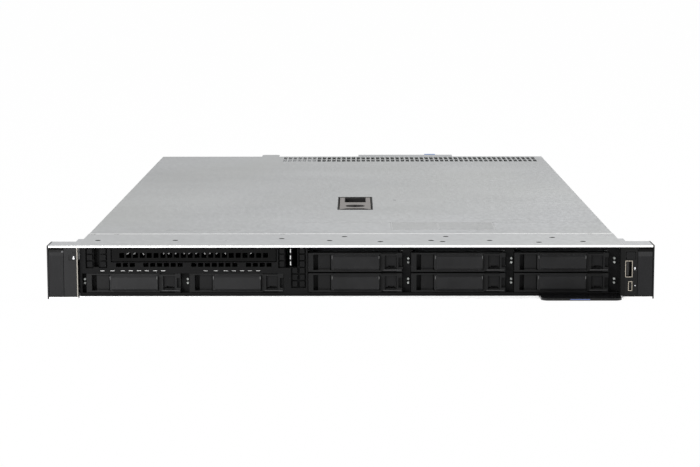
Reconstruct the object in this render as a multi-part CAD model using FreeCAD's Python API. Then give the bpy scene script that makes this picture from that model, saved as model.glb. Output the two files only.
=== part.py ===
"""A 1U rack server with eight 2.5-inch hot-swap drives, as an assembly of separate parts.

Frame: X across the rack, +Y towards the rear, +Z up, in millimetres. The origin is mid-width, on the
underside, in the plane where the ears meet the front rack posts. Each function makes one sub-part, and
main() writes every node to parts/NODE.step.
"""
import FreeCAD, Part

import math
import os

from FreeCAD import Vector

# Overall sizes
EAR_WIDTH = 24.3
CHASSIS_HEIGHT = 42.8
REAR_Y = 683.0
EAR_DEPTH = 24.0
SHEET = 1.2
GAP = 0.3

# Base tray, cover and front panel
COVER_FLANGE = 1.0
COVER_FLANGE_DROP = 12.0
COVER_BEND = 0.8
COVER_SIDE_GAP = 0.2
FRONT_PANEL_THICKNESS = 1.5
HEM_HEIGHT = 2.2
WALL_START_Y = -18.0
SEAM_Y = 45.6
COVER_TAB_X = -93.4
COVER_TAB_WIDTH = 19.6
COVER_TAB_LENGTH = 20.0
PANEL_RIVET_RADIUS = 2.1

# Rear vent in the cover
VENT_X = -77.4
VENT_COLUMNS = 52
VENT_PITCH = 5.5
VENT_SLOT_WIDTH = 3.9
VENT_ROWS = 2
VENT_SLOT_LENGTH = 23.6
VENT_ROW_GAP = 3.0
VENT_REAR_MARGIN = 5.5

# Drive bays
LEFT_BAYS = 2
RIGHT_BAYS = 3
RAIL_THICKNESS = 2.275
RAIL_INSET = 0.3
BAY_POST = 7.2
LEFT_MARGIN = 6.3
MIDDLE_POST = 19.6
RIGHT_MARGIN = 11.5
CARRIER_HEIGHT = 15.2
ROW_Z = 4.6
ROW_PITCH = 16.4
BAY_CLEARANCE = 0.4
BEZEL_Y = -19.6
BEZEL_DEPTH = 9.0
POCKET_DEPTH = 6.0
BEZEL_TAB = 4.2
BEZEL_LIP = 1.4
RECESS_LIP = 2.0
RECESS_DEPTH = 2.4
RECESS_START = 8.0
DISK_WIDTH = 69.85
DISK_LENGTH = 100.2
DISK_HEIGHT = 14.4
DISK_SETBACK = 12.0
DISK_CHAMFER = 1.8
RAIL_HEIGHT = 12.0
BRIDGE_HOLE = 14.0
BRIDGE_HOLE_PITCH = 17.5

# Carrier lever and release button
LEVER_START = 20.4
LEVER_END = 56.8
LEVER_PROUD = 2.6
LEVER_THICKNESS = 3.0
LEVER_BEVEL = 2.3
LEVER_TOP_INSET = 0.7
LEVER_BOTTOM_INSET = 0.9
LEVER_POCKET_START = 17.6
HINGE_PIN_RADIUS = 0.8
HINGE_CLEARANCE = 0.1
HINGE_BARREL_RADIUS = 1.4
HINGE_BACK = 1.6
HINGE_OUTSET = 0.8
BUTTON_WELL_START = 61.2
BUTTON_WELL_END = 70.6
BUTTON_WELL_MARGIN = 2.2
BUTTON_SINK = 1.6
TAB_NOTCH_MARGIN = 3.6
BUTTON_THICKNESS = 2.4

# Drive cage and backplane
CAGE_SHEET = 1.0
CAGE_FRONT_Y = -11.6
CAGE_REAR_Y = 99.0
GUIDE_REACH = 2.6
DIVIDER_BACK = 14.1
BACKPLANE_Y = 101.0
BOARD = 1.6
CONNECTOR_WIDTH = 43.0
CONNECTOR_HEIGHT = 6.0

# Front frame
FRAME_FRONT_Y = -20.5
FRAME_BACK_Y = -12.0
POST_SINK = 6.0
LIP_TOP = 4.3
BAR_TOP = 25.1
OPTICAL_ACROSS = 48.3
OPTICAL_WIDTH = 130.6
OPTICAL_BOTTOM = 29.7
OPTICAL_DEPTH = 26.0
OPTICAL_GAP = 0.8
BLANK_WALL = 1.6
HOLE_PITCH = 5.45
BLANK_HOLES = 22
BLANK_HOLE_SIDE = 4.1
BLANK_HOLE_Z = 34.5
SLOT_COUNT = 23
SLOT_SOLID = (3, 10, 18)
SLOT_WIDTH = 4.2
SLOT_BOTTOM = 25.2
SLOT_TOP = 28.5
WINDOW_STEPS = (0.0, 8.0, 16.0, 22.5, 29.0, 35.3, 41.8, 48.3)
WINDOW_WIDTH = 3.7
WINDOW_BOTTOM = 20.9
WINDOW_TOP = 22.4
CELL_SIDE = 4.1
CELL_PITCH = 5.35
CELL_TOP_Z = 38.2
GROOVE_DEPTH = 3.0
PIPE_RADIUS = 0.9
PIPE_RIGHT = 4.9
PIPE_LEFT = 1.6
PIPE_LOW = 7.2
PIPE_STEP = 3.1
PIPE_STAND = 3.0

# Information tag
TAG_RIGHT_GAP = 2.8
TAG_WIDTH = 64.0
TAG_BOTTOM = 1.5
TAG_THICKNESS = 1.8
TAG_FRONT_Y = -42.5
TAG_LENGTH = 100.0
TAG_CORNER = 6.0

# Ears
EAR_SKIN = 1.2
EAR_INNER_STRIP = 9.8
EAR_GAP = 0.4
EAR_WEB = 2.0
EAR_ARM_LENGTH = 14.5
EAR_ARM_WIDTH = 4.3
RACK_HOLE_INSET = 8.75
RACK_HOLE_RADIUS = 3.4
EAR_TOOL_HOLE_RADIUS = 4.0
LATCH_PIVOT_DROP = 4.8
LATCH_NOSE_RADIUS = 2.9
LATCH_WALL = 2.2
LATCH_PIN_RADIUS = 1.5
LATCH_PIN_LENGTH = 0.9
LATCH_CLAW_Z = 10.0
LATCH_CLAW_HEIGHT = 4.0

# Front ports and power button, on the right ear
PORT_X = 221.2
USB_WIDTH = 5.7
USB_HEIGHT = 13.2
USB_Z = 23.8
USB_DEPTH = 12.0
MICRO_WIDTH = 3.2
MICRO_HEIGHT = 7.6
MICRO_Z = 10.0
MICRO_DEPTH = 6.0
PORT_SHELL = 0.4
POWER_Z = 34.6
POWER_WIDTH = 7.2
POWER_HEIGHT = 5.6
POWER_DEPTH = 5.0
POWER_PROUD = 0.5

# Cover latch
COVER_LATCH_X = 3.6
COVER_LATCH_WIDTH = 32.4
COVER_LATCH_FRONT_Y = 200.8
COVER_LATCH_LENGTH = 96.6
COVER_LATCH_DEPTH = 9.6
LATCH_TRAY_WALL = 1.2
LEVER_SIDE_GAP = 0.8
LEVER_FRONT_GAP = 4.6
COVER_LEVER_THICKNESS = 3.2
COVER_LEVER_SINK = 0.4
COVER_LEVER_PIN_RADIUS = 1.3
WINDOW_X_WIDTH = 18.4
FINGER_WINDOW_LENGTH = 30.0
FINGER_WINDOW_FRONT = 59.0
LOCK_RADIUS = 8.6
LOCK_FORWARD = 31.0
LOCK_DEPTH = 1.0

# Fans
FAN_COUNT = 6
FAN_PITCH = 70.0
FAN_SIDE = 39.6
FAN_LENGTH = 40.0
FAN_FRONT_Y = 148.0
FAN_BORE_RADIUS = 18.4
FAN_BLADE_CLEARANCE = 0.7
FAN_HUB_RADIUS = 9.0
FAN_ROTOR_LENGTH = 18.0
FAN_BLADES = 5
FAN_BLADE_THICKNESS = 1.4
FAN_BLADE_PITCH_DEG = 38.0
FAN_SHAFT_RADIUS = 1.5
FAN_SHAFT_CLEARANCE = 0.2
FAN_SHAFT_REACH = 6.0
FAN_INLET = 4.0
FAN_STRUT = 3.0

# Motherboard, processors and memory
MAIN_BOARD_Z = 6.0
MAIN_BOARD_FRONT_Y = 205.0
MAIN_BOARD_STEP_Y = 478.0
MAIN_BOARD_REAR_GAP = 8.0
MAIN_BOARD_SIDE_GAP = 1.5
STANDOFF_RADIUS = 3.0
PROCESSOR_Y = 300.0
HEATSINK_WIDTH = 84.0
HEATSINK_LENGTH = 112.0
HEATSINK_BASE = 4.0
HEATSINK_TOP = 38.0
HEATSINK_FINS = 13
FIN_THICKNESS = 0.8
SOCKET_HEIGHT = 5.5
DIMM_PER_BANK = 6
DIMM_PITCH = 8.6
DIMM_LENGTH = 133.35
DIMM_HEIGHT = 30.0
DIMM_THICKNESS = 3.0
DIMM_SOCKET_WIDTH = 6.4
DIMM_SOCKET_HEIGHT = 7.0
DIMM_SINK = 3.0
INNER_BANK_X = 21.84
BANK_WIDTH = (DIMM_PER_BANK - 0.4) * DIMM_PITCH
PROCESSOR_X = INNER_BANK_X + BANK_WIDTH + HEATSINK_WIDTH / 2
RISER_X = 118.0
RISER_FRONT_Y = 548.0
RISER_LENGTH = 96.0
RISER_TOP = 39.0
RISER_SLOT_Z = (27.0, 34.0)
RISER_SLOT_DEPTH = 11.0
RISER_SLOT_ENDS = (4.0, 90.0)

# Power supply and its blank
SUPPLY_WIDTH = 86.0
SUPPLY_HEIGHT = 38.6
SUPPLY_LENGTH = 185.0
SUPPLY_BOTTOM = 1.5
SUPPLY_PROUD = 1.0
SUPPLY_SIDE_GAP = 0.2
SUPPLY_DIVIDER = 1.2
INLET_WIDTH = 25.0
INLET_HEIGHT = 17.0
INLET_DEPTH = 16.0
INLET_X = -24.0
INLET_Z = 12.5
PIN_HALF = 1.0
PIN_TALL = 4.0
HANDLE_X = -2.0
HANDLE_WIDTH = 14.0
HANDLE_REACH = 30.0
HANDLE_BAR = 4.0
HANDLE_BOTTOM = 5.0
HANDLE_TOP = 34.0
SUPPLY_FAN_X = 24.0
SUPPLY_FAN_RADIUS = 15.0
SUPPLY_LATCH_WIDTH = 9.0
SUPPLY_LATCH_REACH = 9.0
SUPPLY_LATCH_TRAVEL = 3.0
BLANK_GRIP_WIDTH = 24.0
BLANK_GRIP_HEIGHT = 14.0
BLANK_SLOT_MARGIN = 8.0
BLANK_SLOTS = 4
BLANK_SIDE_LENGTH = 28.0

# Rear wall
SLOT_COVER_WIDTH = 100.0
SLOT_COVER_HEIGHT = 17.0
SLOT_COVER_Z = 22.0
SLOT_COVER_X = (61.0, 164.0)
SLOT_COVER_RIM = 2.0
COVER_SLOTS = 10
COVER_SLOT_PITCH = 8.6
COVER_SLOT_MARGIN = 4.2
VENT_HOLE_SIDE = 3.4
VENT_HOLE_PITCH = 5.2
REAR_VENT_X = -25.0
REAR_VENT_Z = 9.0
REAR_VENT_HEIGHT = 22.0
REAR_VENTS = 4
RETAINER_X = 61.0
RETAINER_WIDTH = 107.6
RETAINER_REACH = 20.0
RETAINER_LIP = 6.0
RETAINER_PIVOT_BACK = 3.2
RETAINER_PIVOT_DROP = 2.9
RETAINER_PIN_RADIUS = 0.7
RETAINER_BARREL_RADIUS = 1.3
RETAINER_LUG = 1.6
RETAINER_TAB_X = 89.6
RETAINER_TAB_WIDTH = 12.8
RETAINER_TAB_REACH = 8.0
JACK_CUTS = ((14.0, 31.0), (152.0, 152.0))
JACK_WIDTH = 16.0
JACK_HEIGHT = 13.6
JACK_DEPTH = 18.0
JACK_OPENING_WIDTH = 12.0
JACK_OPENING_HEIGHT = 8.6
JACK_OPENING_DEPTH = 13.0
REAR_USB_XS = (72.0, 92.0)
VGA_X = 120.0
VGA_WIDTH = 31.0
VGA_SHELL_WIDTH = 16.6
VGA_HEIGHT = 12.4
VGA_SHELL_HEIGHT = 8.0
VGA_DEPTH = 12.0
PORT_STAND = 1.0

# Rail studs on the sides
STUD_YS = (70.0, 330.0, 590.0)
STUD_Z = 16.0
STUD_RADIUS = 3.0
STUD_LENGTH = 3.2

# Derived places: the drives set the bays, the bays the case and the ears the rack width
CARRIER_WIDTH = DISK_WIDTH + 2 * (RAIL_THICKNESS + RAIL_INSET)
HALF_CARRIER = CARRIER_WIDTH / 2
BAY_PITCH = CARRIER_WIDTH + BAY_POST
BAY_COUNT = LEFT_BAYS + RIGHT_BAYS
CHASSIS_WIDTH = (BAY_COUNT * CARRIER_WIDTH + (BAY_COUNT - 2) * BAY_POST + MIDDLE_POST
                 + LEFT_MARGIN + RIGHT_MARGIN)
RACK_WIDTH = CHASSIS_WIDTH + 2 * EAR_WIDTH
RACK_HOLE_X = RACK_WIDTH / 2 - RACK_HOLE_INSET
FRONT_Y = -EAR_DEPTH
HALF_WIDTH = CHASSIS_WIDTH / 2
HALF_RACK = RACK_WIDTH / 2
LEFT_BAY_X = -HALF_WIDTH + LEFT_MARGIN + HALF_CARRIER
RIGHT_BAY_X = LEFT_BAY_X + (LEFT_BAYS - 1) * BAY_PITCH + CARRIER_WIDTH + MIDDLE_POST
DIVIDER_X = RIGHT_BAY_X - HALF_CARRIER - DIVIDER_BACK
OPTICAL_X = LEFT_BAY_X + OPTICAL_ACROSS
RAIL_OUTER = HALF_CARRIER - RAIL_INSET
TAG_X = HALF_WIDTH - TAG_RIGHT_GAP - TAG_WIDTH / 2
JACK_XS = sorted({x for cut in JACK_CUTS for x in cut})
WALL_X = HALF_WIDTH - COVER_FLANGE - COVER_SIDE_GAP
INNER_X = WALL_X - SHEET
PANEL_BOTTOM = CHASSIS_HEIGHT - FRONT_PANEL_THICKNESS
COVER_BOTTOM = CHASSIS_HEIGHT - SHEET
WALL_TOP = PANEL_BOTTOM
CAGE_TOP = WALL_TOP
HALF_BAY = HALF_CARRIER + BAY_CLEARANCE
LEFT_COLUMNS = [LEFT_BAY_X + i * BAY_PITCH for i in range(LEFT_BAYS)]
RIGHT_COLUMNS = [RIGHT_BAY_X + i * BAY_PITCH for i in range(RIGHT_BAYS)]
BAYS = [(x, ROW_Z) for x in LEFT_COLUMNS] + [
    (x, ROW_Z + row * ROW_PITCH) for x in RIGHT_COLUMNS for row in (0, 1)
]
PLATE_X = HALF_BAY + GAP + CAGE_SHEET
SHELF_Z = ROW_Z + CARRIER_HEIGHT + GAP
SUPPLY_REAR_Y = REAR_Y + SUPPLY_PROUD
BLANK_SUPPLY_X = -INNER_X + SUPPLY_SIDE_GAP + SUPPLY_WIDTH / 2
SUPPLY_X = BLANK_SUPPLY_X + SUPPLY_WIDTH + SUPPLY_DIVIDER + 2 * GAP
BOARD_TOP = MAIN_BOARD_Z + BOARD
PANEL_BORE = PANEL_RIVET_RADIUS + 0.8
RIVETS = [
    (-204.4, 6.5), (-141.7, 6.5), (-56.0, 15.5), (-17.0, 4.5), (-5.0, 27.0), (24.0, -2.0),
    (65.0, 4.5), (77.8, 27.0), (73.9, -2.0), (112.3, 4.5), (164.4, 21.0), (151.0, -6.0), (186.9, -2.0),
]


# Shape helpers
def block(x0, x1, y0, y1, z0, z1):
    """A box between two corners."""
    return Part.makeBox(x1 - x0, y1 - y0, z1 - z0, Vector(x0, y0, z0))


def centred(x, width, y0, y1, z0, z1):
    """A box centred on x."""
    return block(x - width / 2, x + width / 2, y0, y1, z0, z1)


def rod(axis, centre, radius, length):
    """A cylinder from centre along axis, one of "x", "y" and "z"."""
    way = {"x": Vector(1, 0, 0), "y": Vector(0, 1, 0), "z": Vector(0, 0, 1)}[axis]
    return Part.makeCylinder(radius, length, Vector(*centre), way)


def faceted(axis, centre, radius, length, sides=12):
    """A many-sided rod for small round pieces, from centre along axis, drawn inside the radius."""
    turn = [2 * math.pi * (i + 0.5) / sides for i in range(sides)]
    across = [centre["xyz".index(letter)] for letter in "xyz" if letter != axis]
    points = [(across[0] + radius * math.cos(a), across[1] + radius * math.sin(a)) for a in turn]
    return prism(points, axis, centre["xyz".index(axis)], length)


def prism(points, axis, start, length):
    """A polygon extruded along axis. Points are the two other coordinates, in X, Y, Z order."""
    place = {
        "x": lambda a, b: Vector(start, a, b),
        "y": lambda a, b: Vector(a, start, b),
        "z": lambda a, b: Vector(a, b, start),
    }[axis]
    way = {"x": Vector(length, 0, 0), "y": Vector(0, length, 0), "z": Vector(0, 0, length)}[axis]
    corners = [place(a, b) for a, b in points]
    return Part.Face(Part.makePolygon(corners + corners[:1])).extrude(way)


def join(*shapes):
    """One solid from shapes that touch or overlap."""
    return shapes[0].fuse(list(shapes[1:])).removeSplitter()


def without(shape, tools):
    """The shape less every tool."""
    return shape.cut(list(tools)) if tools else shape


def edges_along(shape, axis, test=lambda point: True):
    """The straight edges of shape that run along axis and whose middle passes the test."""
    index = "xyz".index(axis)
    found = []
    for edge in shape.Edges:
        if len(edge.Vertexes) != 2 or not isinstance(edge.Curve, (Part.Line, Part.LineSegment)):
            continue
        way = edge.Vertexes[1].Point - edge.Vertexes[0].Point
        across = [abs(way[i]) for i in range(3) if i != index]
        middle = (edge.Vertexes[1].Point + edge.Vertexes[0].Point) * 0.5
        if max(across) < 1e-6 and test(middle):
            found.append(edge)
    return found


def rounded(shape, radius, axis, test=lambda point: True):
    """The shape with its edges along axis filleted, where the test picks them."""
    return shape.makeFillet(radius, edges_along(shape, axis, test))


def mirrored(shape):
    """The shape mirrored across the middle of the rack."""
    return shape.mirror(Vector(0, 0, 0), Vector(1, 0, 0))


# Sheet-metal chassis
def rear_cutouts():
    """Everything that the rear wall is cut for: supplies, expansion slots, ports and vent holes."""
    y0, y1 = REAR_Y - 3 * SHEET, REAR_Y + SHEET
    tools = []
    for x in (SUPPLY_X, BLANK_SUPPLY_X):
        tools.append(centred(x, SUPPLY_WIDTH + 2 * GAP, y0, y1, SUPPLY_BOTTOM - GAP,
                             SUPPLY_BOTTOM + SUPPLY_HEIGHT + GAP))
    half_slot = SLOT_COVER_WIDTH / 2 - SLOT_COVER_RIM
    tools.append(block(SLOT_COVER_X[0] - half_slot, SLOT_COVER_X[-1] + half_slot, y0, y1,
                       SLOT_COVER_Z + SLOT_COVER_RIM, SLOT_COVER_Z + SLOT_COVER_HEIGHT - SLOT_COVER_RIM))
    for first, last in JACK_CUTS:
        tools.append(block(first - JACK_WIDTH / 2, last + JACK_WIDTH / 2, y0, y1, BOARD_TOP,
                           BOARD_TOP + JACK_HEIGHT))
    for x in REAR_USB_XS:
        tools.append(centred(x, USB_HEIGHT, y0, y1, BOARD_TOP + PORT_STAND,
                             BOARD_TOP + PORT_STAND + USB_WIDTH))
    tools.append(centred(VGA_X, VGA_SHELL_WIDTH, y0, y1, BOARD_TOP + PORT_STAND,
                         BOARD_TOP + PORT_STAND + VGA_SHELL_HEIGHT))
    for i in range(REAR_VENTS):
        tools.append(centred(REAR_VENT_X + i * VENT_HOLE_PITCH, VENT_HOLE_SIDE, y0, y1, REAR_VENT_Z,
                             REAR_VENT_Z + REAR_VENT_HEIGHT))
    return tools


def chassis_base():
    """The folded tray: floor with a front hem, two side walls with rail studs, and a divider."""
    floor = block(-WALL_X, WALL_X, FRONT_Y, REAR_Y, 0, SHEET)
    hem = block(-WALL_X, WALL_X, FRONT_Y, FRONT_Y + SHEET, 0, HEM_HEIGHT)
    hem = without(hem, [centred(TAG_X, TAG_WIDTH + 2 * GAP, FRONT_Y - 1, FRONT_Y + 2 * SHEET,
                                SHEET, HEM_HEIGHT + 1)])
    walls = [
        block(-WALL_X, -INNER_X, WALL_START_Y, REAR_Y, 0, WALL_TOP),
        block(INNER_X, WALL_X, WALL_START_Y, REAR_Y, 0, WALL_TOP),
    ]
    supply_divider = centred((SUPPLY_X + BLANK_SUPPLY_X) / 2, SUPPLY_DIVIDER, REAR_Y - SUPPLY_LENGTH,
                             REAR_Y - SHEET, SHEET, SUPPLY_BOTTOM + SUPPLY_HEIGHT)
    return join(floor, hem, *walls, supply_divider, *rail_studs())


def rear_panel():
    """The pierced rear wall between the side walls, with the slot retainer's two lugs."""
    wall = block(-INNER_X, INNER_X, REAR_Y - SHEET, REAR_Y, SHEET, WALL_TOP)
    return join(without(wall, rear_cutouts()), *retainer_lugs())


def rail_studs():
    """Shoulder studs that the slide rails hook on to, three to a side."""
    studs = []
    for y in STUD_YS:
        stud = faceted("x", (WALL_X - SHEET / 2, y, STUD_Z), STUD_RADIUS, STUD_LENGTH + SHEET / 2)
        studs += [stud, mirrored(stud)]
    return studs


def front_top_panel():
    """The fixed lid over the front of the drive cage, with its side flanges and riveting holes."""
    plate = block(-HALF_WIDTH, HALF_WIDTH, FRONT_Y, SEAM_Y, PANEL_BOTTOM, CHASSIS_HEIGHT)
    flange = block(WALL_X, HALF_WIDTH, WALL_START_Y, SEAM_Y, CHASSIS_HEIGHT - COVER_FLANGE_DROP, PANEL_BOTTOM)
    holes = [faceted("z", (x, y, PANEL_BOTTOM - 1), PANEL_RIVET_RADIUS, FRONT_PANEL_THICKNESS + 2, 8)
             for x, y in RIVETS]
    notches = [centred(side * (HALF_WIDTH - 20), 4.0, SEAM_Y - 2.2, SEAM_Y + 1, PANEL_BOTTOM - 1,
                       CHASSIS_HEIGHT + 1) for side in (-1, 1)]
    panel = join(plate, flange, mirrored(flange))
    return without(panel, holes + notches)


def top_cover():
    """The lift-off cover: a plate with its rear vent, rear tab and latch opening, and two side flanges."""
    y0 = SEAM_Y + GAP
    plate = block(-HALF_WIDTH, HALF_WIDTH, y0, REAR_Y, COVER_BOTTOM, CHASSIS_HEIGHT)
    flange = block(HALF_WIDTH - COVER_FLANGE, HALF_WIDTH, y0, REAR_Y,
                   CHASSIS_HEIGHT - COVER_FLANGE_DROP, COVER_BOTTOM)
    tab = centred(COVER_TAB_X, COVER_TAB_WIDTH, REAR_Y, REAR_Y + COVER_TAB_LENGTH, COVER_BOTTOM,
                  CHASSIS_HEIGHT)
    tab = rounded(tab, 4.0, "z", lambda p: p.y > REAR_Y + 1)
    bend = HALF_WIDTH - 0.01
    cover = rounded(join(plate, tab), COVER_BEND, "y",
                    lambda p: abs(p.x) > bend and p.z > CHASSIS_HEIGHT - 0.1)
    z0, z1 = COVER_BOTTOM - 1, CHASSIS_HEIGHT + 1
    tools = [centred(COVER_LATCH_X, COVER_LATCH_WIDTH, COVER_LATCH_FRONT_Y,
                     COVER_LATCH_FRONT_Y + COVER_LATCH_LENGTH, z0, z1)]
    for row in range(VENT_ROWS):
        y1 = REAR_Y - VENT_REAR_MARGIN - row * (VENT_SLOT_LENGTH + VENT_ROW_GAP)
        for column in range(VENT_COLUMNS):
            x = VENT_X + column * VENT_PITCH
            tools.append(block(x, x + VENT_SLOT_WIDTH, y1 - VENT_SLOT_LENGTH, y1, z0, z1))
    return [without(cover, tools), flange, mirrored(flange)]


# Cover latch
def latch_pivot():
    """Where the cover lever turns: its axis runs along X through this Y and Z."""
    y = COVER_LATCH_FRONT_Y + LEVER_FRONT_GAP + COVER_LEVER_THICKNESS / 2
    return y, CHASSIS_HEIGHT - COVER_LEVER_SINK - COVER_LEVER_THICKNESS / 2


def cover_latch_frame():
    """The moulded tray that hangs in the cover and carries the lever's pivot."""
    x0 = COVER_LATCH_X - COVER_LATCH_WIDTH / 2
    y1 = COVER_LATCH_FRONT_Y + COVER_LATCH_LENGTH
    z0 = CHASSIS_HEIGHT - COVER_LATCH_DEPTH
    tray = block(x0, x0 + COVER_LATCH_WIDTH, COVER_LATCH_FRONT_Y, y1, z0, CHASSIS_HEIGHT)
    wall = LATCH_TRAY_WALL
    hollow = block(x0 + wall, x0 + COVER_LATCH_WIDTH - wall, COVER_LATCH_FRONT_Y + wall, y1 - wall,
                   z0 + wall, CHASSIS_HEIGHT + 1)
    rim = block(x0 - 3, x0 + COVER_LATCH_WIDTH + 3, COVER_LATCH_FRONT_Y - 3, y1 + 3,
                COVER_BOTTOM - SHEET, COVER_BOTTOM)
    pivot_y, pivot_z = latch_pivot()
    bore = faceted("x", (x0 - 1, pivot_y, pivot_z), COVER_LEVER_PIN_RADIUS + HINGE_CLEARANCE,
                   COVER_LATCH_WIDTH + 2)
    return without(join(tray, rim), [hollow, bore])


def cover_latch_lever():
    """The cover lever: a plate with a finger window and a round lock, on two pivot pins."""
    half = COVER_LATCH_WIDTH / 2 - LATCH_TRAY_WALL - LEVER_SIDE_GAP
    top = CHASSIS_HEIGHT - COVER_LEVER_SINK
    bottom = top - COVER_LEVER_THICKNESS
    y0 = COVER_LATCH_FRONT_Y + LEVER_FRONT_GAP
    y1 = COVER_LATCH_FRONT_Y + COVER_LATCH_LENGTH - LATCH_TRAY_WALL - GAP
    pivot_y, pivot_z = latch_pivot()
    plate = block(COVER_LATCH_X - half, COVER_LATCH_X + half, pivot_y, y1, bottom, top)
    nose = faceted("x", (COVER_LATCH_X - half, pivot_y, pivot_z), COVER_LEVER_THICKNESS / 2, 2 * half)
    reach = half + LEVER_SIDE_GAP + LATCH_TRAY_WALL - GAP
    pin = rod("x", (COVER_LATCH_X - reach, pivot_y, pivot_z), COVER_LEVER_PIN_RADIUS, 2 * reach)
    window_y = COVER_LATCH_FRONT_Y + FINGER_WINDOW_FRONT
    window = centred(COVER_LATCH_X, WINDOW_X_WIDTH, window_y, window_y + FINGER_WINDOW_LENGTH, bottom - 1,
                     top + 1)
    lock_y = COVER_LATCH_FRONT_Y + LOCK_FORWARD
    seat = faceted("z", (COVER_LATCH_X, lock_y, top - LOCK_DEPTH), LOCK_RADIUS, LOCK_DEPTH + 1, 24)
    knob = faceted("z", (COVER_LATCH_X, lock_y, top - LOCK_DEPTH), LOCK_RADIUS - 1.2, LOCK_DEPTH * 0.8, 24)
    slot = centred(COVER_LATCH_X, 1.6, lock_y - 5, lock_y + 5, top - LOCK_DEPTH, top + 1)
    lever = without(join(plate, nose, pin), [window, seat])
    return join(lever, without(knob, [slot]))


# Drive cage and what stands behind it
def drive_cage():
    """Folded cage: two guide plates a column, ledges for the carriers' rails, a shelf and a top plate."""
    parts = [block(-INNER_X, INNER_X, CAGE_FRONT_Y, CAGE_REAR_Y, CAGE_TOP - CAGE_SHEET, CAGE_TOP)]
    left_x = LEFT_COLUMNS[0] - PLATE_X
    parts.append(block(left_x, DIVIDER_X, CAGE_FRONT_Y, CAGE_REAR_Y, SHELF_Z, SHELF_Z + CAGE_SHEET))
    parts.append(centred(DIVIDER_X, SHEET, CAGE_FRONT_Y, CAGE_REAR_Y, SHEET, CAGE_TOP))
    for columns, top in ((LEFT_COLUMNS, SHELF_Z), (RIGHT_COLUMNS, CAGE_TOP - CAGE_SHEET)):
        for x in columns:
            for side in (-1, 1):
                inner = x + side * (PLATE_X - CAGE_SHEET)
                outer = x + side * PLATE_X
                parts.append(block(min(inner, outer), max(inner, outer), CAGE_FRONT_Y, CAGE_REAR_Y, SHEET,
                                   top))
    for x, z in BAYS:
        for side in (-1, 1):
            root = x + side * (PLATE_X - CAGE_SHEET)
            tip = root - side * GUIDE_REACH
            low = z + (CARRIER_HEIGHT - RAIL_HEIGHT) / 2 - GAP
            high = z + (CARRIER_HEIGHT + RAIL_HEIGHT) / 2 + GAP
            for z0 in (low - CAGE_SHEET, high):
                parts.append(block(min(root, tip), max(root, tip), CAGE_FRONT_Y + BEZEL_DEPTH, CAGE_REAR_Y,
                                   z0, z0 + CAGE_SHEET))
    holes = [centred(x, 2 * PANEL_BORE, y - PANEL_BORE, y + PANEL_BORE, CAGE_TOP - 2 * CAGE_SHEET,
                     CAGE_TOP + 1)
             for x, y in RIVETS if y - PANEL_BORE > CAGE_FRONT_Y]
    holes.append(centred(TAG_X, TAG_WIDTH + 2 * GAP, CAGE_FRONT_Y - 1, TAG_FRONT_Y + TAG_LENGTH + GAP, 0,
                         TAG_BOTTOM + TAG_THICKNESS + GAP))
    return without(join(*parts), holes)


def backplane():
    """The drive backplane: a board with air slots and one connector a bay."""
    board = block(-INNER_X + 1, INNER_X - 1, BACKPLANE_Y, BACKPLANE_Y + BOARD, SHEET,
                  CAGE_TOP - CAGE_SHEET - 1)
    slots = [centred(x, CARRIER_WIDTH - 14, BACKPLANE_Y - 1, BACKPLANE_Y + BOARD + 1, z - 0.6, z + 0.9)
             for x, z in BAYS]
    slots.append(centred(OPTICAL_X, OPTICAL_WIDTH - 20, BACKPLANE_Y - 1, BACKPLANE_Y + BOARD + 1, 27, 37))
    connectors = []
    disk_rear = BEZEL_Y + DISK_SETBACK + DISK_LENGTH
    for x, z in BAYS:
        z0 = z + (CARRIER_HEIGHT - CONNECTOR_HEIGHT) / 2
        connectors.append(centred(x, CONNECTOR_WIDTH, disk_rear + GAP, BACKPLANE_Y, z0,
                                  z0 + CONNECTOR_HEIGHT))
    return [without(board, slots)] + connectors


# Front frame
def cell_grooves(x, rows, top_z, width=CELL_SIDE):
    """The grooves that part one column of raised square cells."""
    y0, y1 = FRAME_FRONT_Y - 1, FRAME_FRONT_Y + GROOVE_DEPTH
    line = CELL_PITCH - CELL_SIDE
    tools = []
    for row in range(rows + 1):
        z = top_z + CELL_PITCH / 2 - row * CELL_PITCH
        tools.append(centred(x, width + 2 * line, y0, y1, z - line / 2, z + line / 2))
    z0 = top_z + CELL_PITCH / 2 - rows * CELL_PITCH
    for side in (-1, 1):
        tools.append(centred(x + side * (width + line) / 2, line, y0, y1, z0, top_z + CELL_PITCH / 2))
    return tools


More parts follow.
